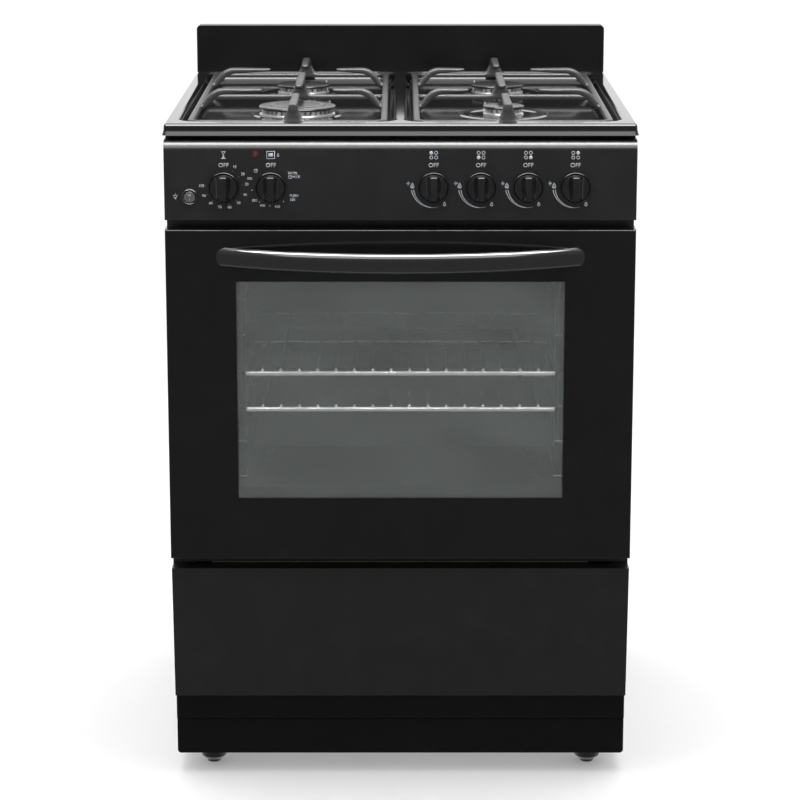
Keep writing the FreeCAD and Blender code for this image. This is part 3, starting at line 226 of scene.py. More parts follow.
def range_finishes(look):
    """Every material slot's finish, by the slot's name."""
    front = tuple(look.front_colour)
    return {
        "enamel_black": worked("enamel_black", front, 0.3, grain=0.00004, grain_scale=1500.0,
                               specks=tuple(np.array(front) * 1.9), speck_scale=900.0, dust=0.012),
        "door_enamel": worked("door_enamel", tuple(np.array(front) * 1.4), 0.12, smudge=0.03,
                              grain=0.000006, grain_scale=700.0, dust=0.006, specular=0.2),
        # A darker copy of the front enamel: painted shade for the backguard, kick panel and lower rail, where
        # less light falls.
        "enamel_painted_shade": worked("enamel_painted_shade", tuple(np.array(front) * 0.3), 0.3, grain=0.00003,
                              grain_scale=1200.0, dust=0.004, specular=0.22),
        "enamel_gloss": worked("enamel_gloss", 0.004, 0.085, smudge=0.02, grain=0.000002,
                               grain_scale=40.0, dust=0.008, specular=0.6),
        "galvanised": worked("galvanised", 0.42, 0.38, 0.9, mottle=0.2, grain=0.00006, grain_scale=120.0,
                             specks=0.5, speck_scale=90.0),
        "cast_iron": worked("cast_iron", tuple(look.iron_colour), 0.4, mottle=0.15, smudge=0.08,
                            grain=0.00022, grain_scale=620.0, dust=0.04, specular=0.5),
        "aluminium": worked("aluminium", 0.66, 0.3, 0.95, mottle=0.1, grain=0.00006, grain_scale=800.0),
        "cap_enamel": worked("cap_enamel", 0.009, 0.24, grain=0.00004, grain_scale=700.0, dust=0.03,
                             specular=0.55),
        "liner_enamel": worked("liner_enamel", 0.009, 0.4, specks=(0.05, 0.055, 0.06), speck_scale=330.0,
                               grain=0.00005, grain_scale=500.0),
        "wool": worked("wool", (0.5, 0.46, 0.3), 0.95, mottle=0.3, grain=0.002, grain_scale=160.0,
                       stretch=(1.0, 1.0, 4.0)),
        "chrome": worked("chrome", 0.9, 0.2, 1.0, mottle=0.05, grain=0.00002, grain_scale=400.0),
        "burner_steel": worked("burner_steel", (0.3, 0.27, 0.24), 0.45, 0.9, mottle=0.3,
                               grain=0.0001, grain_scale=500.0),
        # rack_chrome glows: painted light on the racks' front rods and wire tips, standing in for their
        # highlights behind the door glass.
        "rack_chrome": worked("rack_chrome", 0.9, 0.22, 1.0, mottle=0.04, grain=0.00002, grain_scale=400.0,
                              glow=0.5),
        "gasket": worked("gasket", 0.02, 0.85, grain=0.0006, grain_scale=700.0, stretch=(3.0, 1.0, 1.0)),
        "gloss_plastic": worked("gloss_plastic", 0.008, 0.14, smudge=0.04, grain=0.00003,
                                grain_scale=350.0, dust=0.02),
        "handle_black": worked("handle_black", 0.004, 0.12, smudge=0.03, grain=0.00001,
                               grain_scale=260.0, dust=0.01, specular=1.0),
        "brass": worked("brass", (0.62, 0.42, 0.16), 0.32, 1.0, grain=0.00005),
        "steel": worked("steel", 0.48, 0.3, 1.0, grain=0.00006, stretch=(0.1, 1.0, 1.0)),
        "pipe_steel": worked("pipe_steel", 0.36, 0.42, 0.9, mottle=0.2, grain=0.0001),
        "switch_black": worked("switch_black", 0.02, 0.2, grain=0.00004),
        "rocker_grey": worked("rocker_grey", 0.085, 0.22, smudge=0.06, grain=0.00003),
        "ceramic": worked("ceramic", (0.72, 0.7, 0.64), 0.35, grain=0.00004),
        "foot_black": worked("foot_black", 0.013, 0.5, grain=0.0001, grain_scale=500.0, dust=0.06),
        "grey_plastic": worked("grey_plastic", 0.2, 0.45, grain=0.00006),
        "print_ink": worked("print_ink", tuple(look.ink_colour), 0.5, grain=0.00002, dust=0.02),
        # The outer pane's grey veil is partly painted light, standing in for the light seen in the oven
        # window.
        "glass": hazy_glass("glass", (0.17, 0.186, 0.18), 0.05, 0.66),
        "inner_glass": hazy_glass("inner_glass", (0.07, 0.077, 0.074), 0.05, 0.92),
        "lamp_red": glowing_lens("lamp_red", (0.12, 0.008, 0.007)),
    }


# ------------------------------------------------------------------ surfaces
def grid_faces(rows, columns, wrap):
    """Quads between neighbouring rows and columns of a grid; the last column may join the first."""
    row, column = np.meshgrid(np.arange(rows - 1), np.arange(columns - (0 if wrap else 1)), indexing="ij")
    after = (column + 1) % columns
    corners = [row * columns + column, row * columns + after,
               (row + 1) * columns + after, (row + 1) * columns + column]
    return np.stack(corners, -1).reshape(-1, 4)


class Shell:
    """Points and faces of one piece, gathered surface by surface."""

    def __init__(self):
        self.points = []
        self.faces = []
        self.count = 0

    def add(self, points, faces):
        """Adds a surface whose faces number its own points from nought."""
        points = np.asarray(points, float).reshape(-1, 3)
        self.faces.extend((np.asarray(faces) + self.count).tolist())
        self.points.append(points)
        self.count += len(points)

    def grid(self, points, wrap=False):
        """Adds a grid of points, given as rows by columns by three."""
        self.add(points, grid_faces(points.shape[0], points.shape[1], wrap))

    def tube(self, rings):
        """Adds closed rings, one after another, with flat ends."""
        self.grid(rings, True)
        for ring in (rings[0], rings[-1]):
            self.add(ring, [np.arange(len(ring))])

    def piece(self, name, body, slot, replaced=(), sharp=38.0, outwards=True):
        """Makes the object: merges doubles, turns faces outwards and lets it ride on its body."""
        mesh = bpy.data.meshes.new(name)
        mesh.from_pydata(np.concatenate(self.points).tolist(), [], self.faces)
        finish_mesh(mesh, sharp, outwards)
        made = bpy.data.objects.new(name, mesh)
        bpy.context.scene.collection.objects.link(made)
        return fit(made, body, slot, replaced)


def finish_mesh(mesh, sharp, outwards):
    """Merges doubled points, turns the faces outwards and smooths edges below the sharp angle."""
    work = bmesh.new()
    work.from_mesh(mesh)
    bmesh.ops.remove_doubles(work, verts=work.verts, dist=0.002 * MM)
    bmesh.ops.dissolve_degenerate(work, edges=work.edges, dist=0.001 * MM)
    if outwards:
        bmesh.ops.recalc_face_normals(work, faces=work.faces)
    work.to_mesh(mesh)
    work.free()
    mesh.shade_smooth()
    mesh.set_sharp_from_angle(angle=math.radians(sharp))


def fit(made, body, slot, replaced):
    """Gives a piece its finish, body and slot, and hides the CAD nodes it stands for."""
    made.data.materials.clear()
    made.data.materials.append(bpy.data.materials[slot])
    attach(made, body)
    if replaced:
        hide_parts(*replaced)
    return made


def rounded(points, radius, steps=6):
    """Path through the points whose inner corners are eased by a quadratic curve.

    Each corner gives way to (1 - t)^2 start + 2 t (1 - t) corner + t^2 end, where start and end lie
    the radius away from it along its two runs, or just under half a run where that is shorter.
    """
    points = np.asarray(points, float)
    share = np.linspace(0.0, 1.0, steps)[:, None]
    path = [points[:1]]
    for before, corner, after in zip(points, points[1:], points[2:]):
        ends = []
        for other in (before, after):
            run = other - corner
            length = np.linalg.norm(run)
            ends.append(corner + run / length * min(radius, 0.48 * length))
        path.append((1 - share) ** 2 * ends[0] + 2 * share * (1 - share) * corner + share ** 2 * ends[1])
    return np.concatenate(path + [points[-1:]])


def turn(profile, centre, count=96):
    """Rings of a (radius, height) profile turned about the upright line through the centre."""
    angle = np.linspace(0, 2 * math.pi, count, endpoint=False)
    radius, height = profile[:, :1], profile[:, 1:]
    return np.stack([centre[0] + radius * np.cos(angle), centre[1] + radius * np.sin(angle),
                     centre[2] + height + 0 * angle], -1)


def bar(path, width, height, up=(0.0, 0.0, 1.0), closed=False, square=4.5, count=20):
    """Rings of a cast bar along a path.

    The section is a superellipse: width / 2 times cos, and height / 2 times sin, each with its
    sign kept and its size raised to 2 / square. Width and height may change along the path.
    """
    path = np.asarray(path, float)
    if closed:
        tangent = np.roll(path, -1, 0) - np.roll(path, 1, 0)
    else:
        tangent = np.gradient(path, axis=0)
    side = np.cross(tangent, np.array(up))
    side /= np.linalg.norm(side, axis=1)[:, None]
    rise = np.cross(side, tangent)
    rise /= np.linalg.norm(rise, axis=1)[:, None]
    angle = np.linspace(0, 2 * math.pi, count, endpoint=False)
    across, along = np.cos(angle), np.sin(angle)
    across = np.sign(across) * np.abs(across) ** (2 / square) * 0.5
    along = np.sign(along) * np.abs(along) ** (2 / square) * 0.5
    width = np.broadcast_to(width, len(path))[:, None, None]
    height = np.broadcast_to(height, len(path))[:, None, None]
    rings = path[:, None] + side[:, None] * across[:, None] * width + rise[:, None] * along[:, None] * height
    return np.concatenate([rings, rings[:1]]) if closed else rings


def smooth(value):
    """Ease from 0 to 1: 3 v^2 - 2 v^3."""
    value = np.clip(value, 0.0, 1.0)
    return value * value * (3 - 2 * value)


def thicken(made, thickness):
    """Gives flat marks a body, half of it to either side."""
    skin = made.modifiers.new("skin", "SOLIDIFY")
    skin.thickness = thickness
    skin.offset = 0.0


def middle(node):
    """Centre of a CAD node's box."""
    low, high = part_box(node)
    return np.array((low + high) / 2)


# ------------------------------------------------------------------ hob
def pocket(x, y, low, high, corner, slope):
    """How deep a place is in a rounded basin: 0 on the rim, 1 on the floor, eased over the slope."""
    cx, cy = (low[0] + high[0]) / 2, (low[1] + high[1]) / 2
    over_x = np.abs(x - cx) - (high[0] - low[0]) / 2 + corner
    over_y = np.abs(y - cy) - (high[1] - low[1]) / 2 + corner
    beyond = np.hypot(np.maximum(over_x, 0), np.maximum(over_y, 0))
    outside = beyond + np.minimum(np.maximum(over_x, over_y), 0)
    return smooth((corner - outside) / slope)


def build_hob(look):
    """Pressed hob: a height field with two basins and burner collars, and a rolled, skirted edge.

    The plate is a grid whose height is the rim's, less the basins' depth times their eased wall,
    plus a rounded swelling round each burner. The edge is a quarter circle and an upright skirt
    carried round three sides.
    """
    low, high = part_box("hob_top")
    rib = look.centre_rib
    side, front, rear, depth = 16 * MM, 22 * MM, 17 * MM, 12 * MM
    basin_corner, basin_slope = 29 * MM, 8 * MM
    collar_inner, collar_outer = 40 * MM, 62 * MM
    edge = look.hob_edge_radius
    rim = high.z
    x = np.linspace(low.x + edge, high.x - edge, 263)
    y = np.linspace(low.y + edge, high.y, 245)
    x, y = np.meshgrid(x, y)
    z = np.full(x.shape, rim)
    for hand in (-1, 1):
        ends = sorted((hand * rib, hand * (high.x - side)))
        inside = pocket(x, y, (ends[0], low.y + front), (ends[1], high.y - rear),
                        basin_corner, basin_slope)
        z = z - depth * inside
    for cap in CAPS:
        centre = middle(cap)
        away = np.hypot(x - centre[0], y - centre[1])
        outer_ease = smooth((collar_outer - away) / (6 * MM))
        inner_ease = smooth((away - collar_inner) / (12 * MM))
        z = z + look.collar_height * outer_ease * inner_ease
    shell = Shell()
    shell.grid(np.stack([x, y, z], -1))
    angle = np.linspace(0, math.pi / 2, 8)
    fall = np.linspace(0.15, 1.0, 8)
    height = rim - low.z
    drop = np.concatenate([edge * (1 - np.cos(angle)), edge + (height - edge) * fall, [height]])
    out = np.concatenate([edge * np.sin(angle), edge + look.hob_flare * fall ** 2, [edge - 3 * MM]])
    left, right, near = low.x + edge, high.x - edge, low.y + edge
    corner = np.linspace(0, math.pi / 2, 9)
    places = [(left, high.y, math.pi)]
    places += [(left, near, math.pi + turned) for turned in corner]
    places += [(right, near, 1.5 * math.pi + turned) for turned in corner]
    places += [(right, high.y, 2 * math.pi)]
    base_x, base_y, heading = np.array(places).T[:, None, :]
    out, drop = out[:, None], drop[:, None]
    edge_x = base_x + out * np.cos(heading)
    edge_y = base_y + out * np.sin(heading)
    shell.grid(np.stack([edge_x, edge_y, rim - drop + 0 * edge_x], -1)[:, ::-1])
    shell.piece("hob_pressing", "cabinet", "enamel_gloss", ["hob_top"], 50.0, outwards=False)


def build_caps(look):
    """Burner lids: a slightly domed disc with an eased edge, and a groove on the widest one."""
    for cap in CAPS:
        low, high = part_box(cap)
        centre = middle(cap)
        radius = (high.x - low.x) / 2
        top = high.z
        thick = look.cap_thickness
        hub = radius - 11 * MM
        edge = [(radius - 1.2 * MM, top - 0.5 * MM), (radius, top - 1.6 * MM), (radius, top - thick),
                (radius - 5 * MM, top - thick), (hub, top - thick), (hub, low.z), (0, low.z)]
        crown = [(0, top), (radius * 0.5, top)]
        if radius > 45 * MM:
            groove = 33 * MM
            crown += [(groove - 3.2 * MM, top - 0.1 * MM), (groove - 0.4 * MM, top - 1.5 * MM),
                      (groove + 0.4 * MM, top - 1.5 * MM), (groove + 3.2 * MM, top - 0.1 * MM)]
        profile = rounded(crown + edge, 2.2 * MM)
        profile[:, 1] -= top
        shell = Shell()
        shell.grid(turn(profile, (centre[0], centre[1], top), 112), True)
        shell.piece(cap + "_lid", cap, "cap_enamel", [cap])


def grate_bars(look, low, high, burners):
    """Rings of every bar of the right grate, before they are cast into one."""
    width, thick = look.grate_bar, look.grate_bar - 1.5 * MM
    half = width / 2
    bed = low.z + 4.5 * MM + thick / 2
    deck = high.z - thick / 2
    corner = 20 * MM - half
    x0, x1, y0, y1 = low.x + half, high.x - half, low.y + half, high.y - half
    frame_path = []
    for cx, cy, start in ((x1 - corner, y0 + corner, -90), (x1 - corner, y1 - corner, 0),
                          (x0 + corner, y1 - corner, 90), (x0 + corner, y0 + corner, 180)):
        angle = np.radians(start + np.linspace(0, 90, 9))
        frame_path.append(np.stack([cx + corner * np.cos(angle), cy + corner * np.sin(angle)], -1))
    frame_path = np.concatenate(frame_path)
    frame_path = np.column_stack([frame_path, np.full(len(frame_path), bed)])
    bars = [bar(frame_path, width, thick, closed=True)]
    bx = burners[0][0]
    cross = (burners[0][1] + burners[1][1]) / 2
    bars.append(bar([(x0, cross, bed), (bx, cross, bed), (x1, cross, bed)], width, thick))
    rise = np.linspace(0, 1, 12)
    reach = look.grate_reach
    for from_y, tip_y in ((y0, burners[0][1] - reach), (cross, burners[0][1] + reach),
                          (cross, burners[1][1] - reach), (y1, burners[1][1] + reach)):
        height = bed - 2 * MM + rise * (deck - bed + 2 * MM)
        post = np.stack([np.full(len(rise), bx), np.full(len(rise), from_y), height], -1)
        bars.append(bar(post, 12 * MM + 26 * MM * (1 - rise) ** 1.7, 8 * MM, up=(0, 1, 0)))
        ahead = math.copysign(1, tip_y - from_y)
        path = rounded([(bx, from_y - ahead * half, deck - 1 * MM), (bx, from_y + ahead * half, deck),
                        (bx, tip_y, deck)], 4 * MM)
        fade = np.clip(np.abs(path[:, 1] - from_y) / (22 * MM), 0, 1)
        drop = 5 * MM * (1 - fade) ** 2
        path[:, 2] -= drop / 2
        bars.append(bar(path, 12 * MM - 1.5 * MM * fade, thick - 1 * MM * fade + drop))
    for burner in burners:
        for edge_x, ahead in ((x0, 1), (x1, -1)):
            tip = bx - ahead * reach
            knee = edge_x + ahead * 24 * MM
            path = rounded([(edge_x, burner[1], bed), (edge_x + ahead * 5 * MM, burner[1], bed),
                            (knee, burner[1], deck), (tip, burner[1], deck)], 13 * MM, 9)
            past_knee = ahead * path[:, 0] > ahead * knee
            taper = 2 * MM * smooth(np.abs(path[:, 0] - knee) / np.abs(tip - knee) * past_knee)
            path[:, 2] += taper / 2
            swell = np.exp(-((path[:, 0] - knee) / (14 * MM)) ** 2) * 2 * MM
            bars.append(bar(path, width + swell, thick + swell - 1.5 * taper))
    for foot_x in (x0, x1):
        for foot_y in (y0 + 20 * MM, y1 - 20 * MM):
            bars.append(bar([(foot_x, foot_y, low.z), (foot_x, foot_y, bed)], 10 * MM, 10 * MM,
                            up=(0, 1, 0), square=2.0))
    return bars


def cast(made, voxel, passes):
    """Melts a piece's overlapping bars into one skin with eased joints."""
    melt = made.modifiers.new("melt", "REMESH")
    melt.mode = "VOXEL"
    melt.voxel_size = voxel
    ease = made.modifiers.new("ease", "SMOOTH")
    ease.factor = 0.5
    ease.iterations = passes
    graph = bpy.context.evaluated_depsgraph_get()
    solid = bpy.data.meshes.new_from_object(made.evaluated_get(graph))
    made.modifiers.clear()
    made.data = solid
    solid.shade_smooth()
    solid.materials.clear()
    solid.materials.append(bpy.data.materials["cast_iron"])


def build_grates(look):
    """Two cast pan supports: a low frame, cross bar, flared fingers and arms that rise to pan height."""
    for hand in ("left", "right"):
        node = "grate_" + hand
        low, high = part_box(node)
        burners = [middle("burner_cap_" + end + "_" + hand) for end in ("front", "rear")]
        shell = Shell()
        for rings in grate_bars(look, low, high, burners):
            shell.tube(rings)
        made = shell.piece(node + "_casting", node, "cast_iron", [node])
        cast(made, look.grate_voxel, 3)


# ------------------------------------------------------------------ knobs and handle
def build_knobs(look):
    """Six knobs: a thin outer ring, a dark gap and a scooped face with an upright grip blade.

    Each front is a polar grid. The blade's height falls from its ridge as a hollow curve of the
    distance to either side, and dips a little towards its ends; ring and gap are rows of the grid.
    """
    for knob in KNOBS:
        low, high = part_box(knob)
        x = (low.x + high.x) / 2
        z = KNOB_AXIS_Z
        radius = (high.x - low.x) / 2
        face = look.knob_face_radius
        rear = look.knob_rear
        tall = rear - low.y
        angle = np.linspace(0, 2 * math.pi, 144, endpoint=False)
        ring = face * np.concatenate([np.linspace(0, 0.93, 34), [0.965, 0.99, 1.0]])[:, None]
        across, upright = ring * np.sin(angle), ring * np.cos(angle)
        half_blade = look.knob_blade / 2
        blade_edge = half_blade * (0.86 + 0.1 * upright / face)
        aside = np.maximum(np.abs(across) - blade_edge, 0) / (face - half_blade)
        scoop = np.exp(-(aside * 4.2) ** 1.15)
        bow = 1 - 0.1 * (upright / face) ** 2 - 0.1 * smooth((np.abs(upright) / face - 0.8) / 0.2)
        height = 5.6 * MM + (tall - 5.6 * MM) * scoop * bow
        rim = smooth((face - ring) / (2.4 * MM))
        height = 5.2 * MM + (height - 5.2 * MM) * (0.35 + 0.65 * rim)
        front = np.stack([x + across, rear - height, z + upright], -1)
        outline = [(face, 5.0 * MM), (face + 0.15 * MM, 1.8 * MM), (face + 0.9 * MM, 1.8 * MM),
                   (face + 1.0 * MM, 4.6 * MM), (radius - 0.7 * MM, 5.0 * MM), (radius, 4.2 * MM),
                   (radius, 0.0), (radius - 3 * MM, 0.0), (0, 0.0)]
        wall = rounded(outline, 0.5 * MM, 4)
        wall_r, wall_h = wall[:, :1], wall[:, 1:]
        skirt = np.stack([x + wall_r * np.sin(angle), rear - wall_h + 0 * angle,
                          z + wall_r * np.cos(angle)], -1)
        front[-1] = skirt[0]
        shell = Shell()
        shell.grid(np.concatenate([front, skirt[1:]]), True)
        shell.piece(knob + "_moulding", knob, "gloss_plastic", [knob], 42.0)


def build_panel_crown(look):
    """Rounded band along the control panel's top edge, and a dark strip behind it: painted shade that hides
    the light seen through the gap under the hob.

    The band's section is given as drops from the panel's top and set-backs from its face. It starts
    behind its own sharp lower line and runs up over the rounding.
    """
    low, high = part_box("control_panel")
    section = np.array([(9.5, 0.6), (9.5, -0.55), (8.0, -0.1), (6.0, 0.75),
                        (4.2, 1.75), (2.8, 2.9), (1.6, 4.3), (0.6, 6.2)]) * MM
    drop, back = section[:, 0], section[:, 1]
    across = np.linspace(low.x + 0.3 * MM, high.x - 0.3 * MM, 61)
    x, y = np.meshgrid(across, low.y + back)
    z = high.z - drop[:, None] + 0 * x
    shell = Shell()
    shell.grid(np.stack([x, y, z], -1))
    shell.piece("panel_crown", "cabinet", "enamel_black", sharp=35.0, outwards=False)
    # Dark strip behind the panel's top: painted shade, blocking light that would show through the gap under
    # the hob.
    strip_end = high.x - 6 * MM
    strip_y = low.y + 30 * MM
    strip_z = high.z + 1.9 * MM
    strip_thick, strip_tall = 1.5 * MM, 3.6 * MM
    path = [(-strip_end, strip_y, strip_z), (0, strip_y, strip_z), (strip_end, strip_y, strip_z)]
    strip = Shell()
    strip.tube(bar(path, strip_thick, strip_tall))
    strip.piece("panel_painted_shade_strip", "cabinet", "foot_black")


def build_racks(look):
    """Oven racks: a round frame rod with a middle rod, and wires whose ends are rounded off.

    The front rod and the wires' front tips are a piece of their own, in a chrome that glows: painted light
    standing in for their highlights. A wire's thickness grows from its end as the sine of the angle round
    the tip.
    """
    wire, rod = look.rack_wire, look.rack_rod
    half = rod / 2
    tip_rows = 6
    round_tip = np.linspace(0.12, math.pi / 2, tip_rows)
    tip = np.sin(round_tip)
    size = np.concatenate([tip, [1.0], tip[::-1]]) * wire
    end = (1 - np.cos(round_tip)) * wire / 2
    front_rows, rear_rows = slice(0, tip_rows + 1), slice(tip_rows - 1, None)
    for node in ("rack_lower", "rack_upper"):
        low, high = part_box(node)
        level = low.z + half
        left, right, near, far = low.x + half, high.x - half, low.y + half, high.y - half
        shell, front = Shell(), Shell()
        frame_path = rounded([(left + half, near, level), (left, near, level), (left, far, level),
                              (right, far, level), (right, near, level), (right - half, near, level)],
                             6 * MM, 8)
        shell.tube(bar(frame_path, rod, rod, square=2.0, count=16))
        front_path = [(left + half, near, level), (0, near, level), (right - half, near, level)]
        front.tube(bar(front_path, rod, rod, square=2.0, count=16))
        centre = (near + far) / 2
        middle_path = [(left, centre, level), (0, centre, level), (right, centre, level)]
        shell.tube(bar(middle_path, rod, rod, square=2.0, count=12))
        along = np.concatenate([near - half + end, [near + half], (far + half - end)[::-1]])
        top = high.z - wire / 2
        for index in range(look.rack_wires):
            x = left + (right - left) * (index + 1) / (look.rack_wires + 1)
            path = np.stack([np.full(len(along), x), along, np.full(len(along), top)], -1)
            for part, rows in ((front, front_rows), (shell, rear_rows)):
                part.tube(bar(path[rows], size[rows], size[rows], square=2.0, count=12))
        shell.piece(node + "_wires", node, "chrome", [node], 60.0)
        # The front piece takes the glowing chrome: painted light standing in for the highlights of the front
        # rod and tips.
        front.piece(node + "_front", node, "rack_chrome", (), 60.0)


def switch_rings(profile, centre, base_y, slant):
    """Rings of a (radius, proud) profile about the switch's axis, slanted so that the foot stands out."""
    angle = np.linspace(0, 2 * math.pi, 72, endpoint=False)
    across = profile[:, :1] * np.cos(angle)
    upright = profile[:, :1] * np.sin(angle)
    proud = profile[:, 1:] + 0 * angle
    return np.stack([centre[0] + across,
                     base_y - proud * math.cos(slant) + upright * math.sin(-slant),
                     centre[2] + upright * math.cos(slant) - proud * math.sin(slant)], -1)


def build_switch(look):
    """Round rocker switch: a rounded bezel, a dished rocker at a slant, and its marks O and I."""
    low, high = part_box("rocker_frame")
    radius = (high.x - low.x) / 2
    tail = 3 * MM - (high.y - low.y)
    bore, barrel, crown, foot = 8.3 * MM, 9.4 * MM, 3.4 * MM, -5 * MM
    profile = rounded([(bore, foot), (bore, 2.6 * MM), (9.2 * MM, crown), (10.2 * MM, crown * 0.8),
                       (radius, 1.2 * MM), (radius, 0), (barrel, 0), (barrel, tail),
                       (bore, tail), (bore, foot)], 1.0 * MM, 5)
    bezel = Shell()
    bezel.grid(switch_rings(profile, middle("rocker_frame"), PANEL_Y, 0.0), True)
    bezel.piece("rocker_frame_moulding", "cabinet", "switch_black", ["rocker_frame"], 40.0)

    low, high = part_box("rocker_switch")
    centre = middle("rocker_switch")
    radius = (high.x - low.x) / 2
    half_thick, dish, slant = 2 * MM, 1.2 * MM, math.radians(6.0)
    profile = rounded([(0, -half_thick), (radius, -half_thick), (radius, 1.6 * MM),
                       (radius - 0.8 * MM, half_thick), (0, half_thick - dish)], 0.7 * MM, 5)
    rocker = Shell()
    rocker.grid(switch_rings(profile, centre, centre[1], slant), True)
    rocker.piece("rocker_switch_moulding", "rocker_switch", "rocker_grey", ["rocker_switch"], 40.0)

    marks = Shell()
    sheet = Sheet(centre[0], centre[2])
    sheet.ring(marks, 0, 3.0, 1.6, 0.55)
    sheet.dash(marks, 0, -4.2, 0, -1.6, 0.6)
    proud = 1.75 * MM
    for part in marks.points:
        lift = part[:, 2] - sheet.z
        part[:, 1] = centre[1] - proud - lift * math.sin(slant)
        part[:, 2] = sheet.z + lift * math.cos(slant) - proud * math.sin(slant)
    thicken(marks.piece("rocker_marks", "rocker_switch", "print_ink", outwards=False), 0.2 * MM)


def build_handle(look):
    """Door handle: a bar bowed outwards, whose two ends meet the door's face.

    Every point of its section travels on its own arc about one upright axis; the arc's half angle
    is acos of the axis's distance to the door over the arc's radius, so the ends are flush.
    """
    low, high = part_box("door_handle")
    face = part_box("door_outer_panel")[0].y
    half_span = look.handle_half_span
    thick = look.handle_thickness
    reach = face - low.y - thick / 2
    sweep = (half_span ** 2 + reach ** 2) / (2 * reach)
    axis_y = face - reach + sweep
    middle_z = (low.z + high.z) / 2
    tall = high.z - low.z
    angle = np.linspace(0, 2 * math.pi, 40, endpoint=False)
    bulge = np.sign(np.cos(angle)) * np.abs(np.cos(angle)) ** 0.9 * thick / 2
    rise = np.sign(np.sin(angle)) * np.abs(np.sin(angle)) ** 0.82 * tall / 2
    radius = sweep + bulge
    end = np.arccos((axis_y - face) / radius)
    along = np.linspace(-1, 1, 121)[:, None] * end
    rings = np.stack([radius * np.sin(along), axis_y - radius * np.cos(along),
                      middle_z + rise + 0 * along], -1)
    shell = Shell()
    shell.tube(rings)
    shell.piece("door_handle_bar", "door", "handle_black", ["door_handle"], 45.0)


# ------------------------------------------------------------------ printing
class Sheet:
    """Flat printed marks on the control panel, drawn in metres right of and above a point."""

    def __init__(self, x, z):
        self.x = x
        self.z = z

    def band(self, shell, inner, outer):
        """Strip between two outlines of (right, above) points, millimetres."""
        rows = np.stack([np.asarray(inner, float), np.asarray(outer, float)]) * MM
        depth = np.full(rows.shape[:2], PRINT_Y)
        shell.grid(np.stack([self.x + rows[..., 0], depth, self.z + rows[..., 1]], -1))

    def ring(self, shell, x, z, radius, line, start=0.0, end=360.0, steps=40):
        """Circle, or part of one, drawn with a line inside its radius. Degrees run anticlockwise."""
        angle = np.radians(np.linspace(start, end, steps))
        round_path = np.stack([np.cos(angle), np.sin(angle)], -1)
        place = np.array((x, z))
        self.band(shell, place + round_path * max(radius - line, 0.0), place + round_path * radius)

    def dash(self, shell, x0, z0, x1, z1, line):
        """Straight stroke."""
        run = np.array((x1 - x0, z1 - z0))
        aside = np.array((-run[1], run[0])) / np.hypot(*run) * line / 2
        start, end = np.array((x0, z0)), np.array((x1, z1))
        self.band(shell, [start - aside, end - aside], [start + aside, end + aside])

    def frame(self, shell, x, z, width, height, line):
        """Outline of an upright rectangle about a centre."""
        w, h = width / 2, height / 2
        outer = np.array([(-w, -h), (w, -h), (w, h), (-w, h), (-w, -h)])
        self.band(shell, outer * (1 - line / np.array((w, h))) + (x, z), outer + (x, z))

    def flame(self, shell, x, z, width, height, line):
        """Teardrop outline: sin t times sin(t / 2)^1.6 across, cos t upwards."""
        t = np.linspace(0.0, 2 * math.pi, 41)
        across = width / 1.55 * np.sin(t) * np.abs(np.sin(t / 2)) ** 1.6
        drop = np.stack([across, height / 2 * np.cos(t)], -1)
        shrink = 1 - 2.2 * line / width
        self.band(shell, drop * shrink + (x, z - line * 0.5), drop + (x, z))


def words(text, size, x, z, bold=0.05):
    """Mesh of a line of text, centred on a place of the panel, standing 0.1 mm proud."""
    curve = bpy.data.curves.new("words", "FONT")
    curve.body = text
    curve.size = size
    curve.offset = bold * size * 0.2
    curve.align_x = "CENTER"
    curve.align_y = "CENTER"
    curve.resolution_u = 3
    made = bpy.data.objects.new("words", curve)
    bpy.context.scene.collection.objects.link(made)
    graph = bpy.context.evaluated_depsgraph_get()
    mesh = bpy.data.meshes.new_from_object(made.evaluated_get(graph))
    points = np.array([vertex.co for vertex in mesh.vertices]).reshape(-1, 3)
    faces = [list(face.vertices) for face in mesh.polygons]
    bpy.data.objects.remove(made)
    bpy.data.curves.remove(curve)
    return np.stack([x + points[:, 0], np.full(len(points), PRINT_Y), z + points[:, 1]], -1), faces


def print_words(shell, text, size, x, z):
    """Adds a line of text, face by face."""
    points, faces = words(text, size, x, z)
    shell.points.append(points)
    shell.faces.extend([[corner + shell.count for corner in face] for face in faces])
    shell.count += len(points)


def burner_marks(shell, sheet, filled, size):
    """Marks of a burner knob: the burners' plan, OFF, spark and flame, and the tapering arc."""
    for index in range(4):
        x, z = (-3.1, 3.1)[index % 2], (44.4, 38.4)[index // 2]
        sheet.ring(shell, x, z, 2.35, 2.35 if index == filled else 0.75)
    print_words(shell, "OFF", size, sheet.x, sheet.z + OFF_ABOVE)
    sheet.ring(shell, -32.4, 4.6, 1.5, 1.5, steps=12)
    for turn_by in (20, 100, 180, 260):
        angle = math.radians(turn_by)
        sheet.dash(shell, -32.4, 4.6, -32.4 + 2.6 * math.cos(angle), 4.6 + 2.6 * math.sin(angle), 0.6)
    sheet.flame(shell, -27.3, 2.2, 5.8, 7.8, 1.0)
    sheet.flame(shell, -27.3, 0.8, 2.6, 4.0, 0.8)
    share = np.linspace(0, 1, 40)
    angle = np.radians(188 + share * 96)
    heading = np.stack([np.cos(angle), np.sin(angle)], -1)
    outer = (29.2 - 2.8 * share)[:, None]
    line = (0.85 * (1 - share) + 0.2)[:, None]
    sheet.band(shell, heading * (outer - line), heading * outer)
    inner = (26.3 + 0.4 * share)[:32, None]
    sheet.band(shell, heading[:32] * (inner - line[:32]), heading[:32] * inner)
    sheet.flame(shell, 14.0, -21.6, 4.4, 6.0, 0.9)


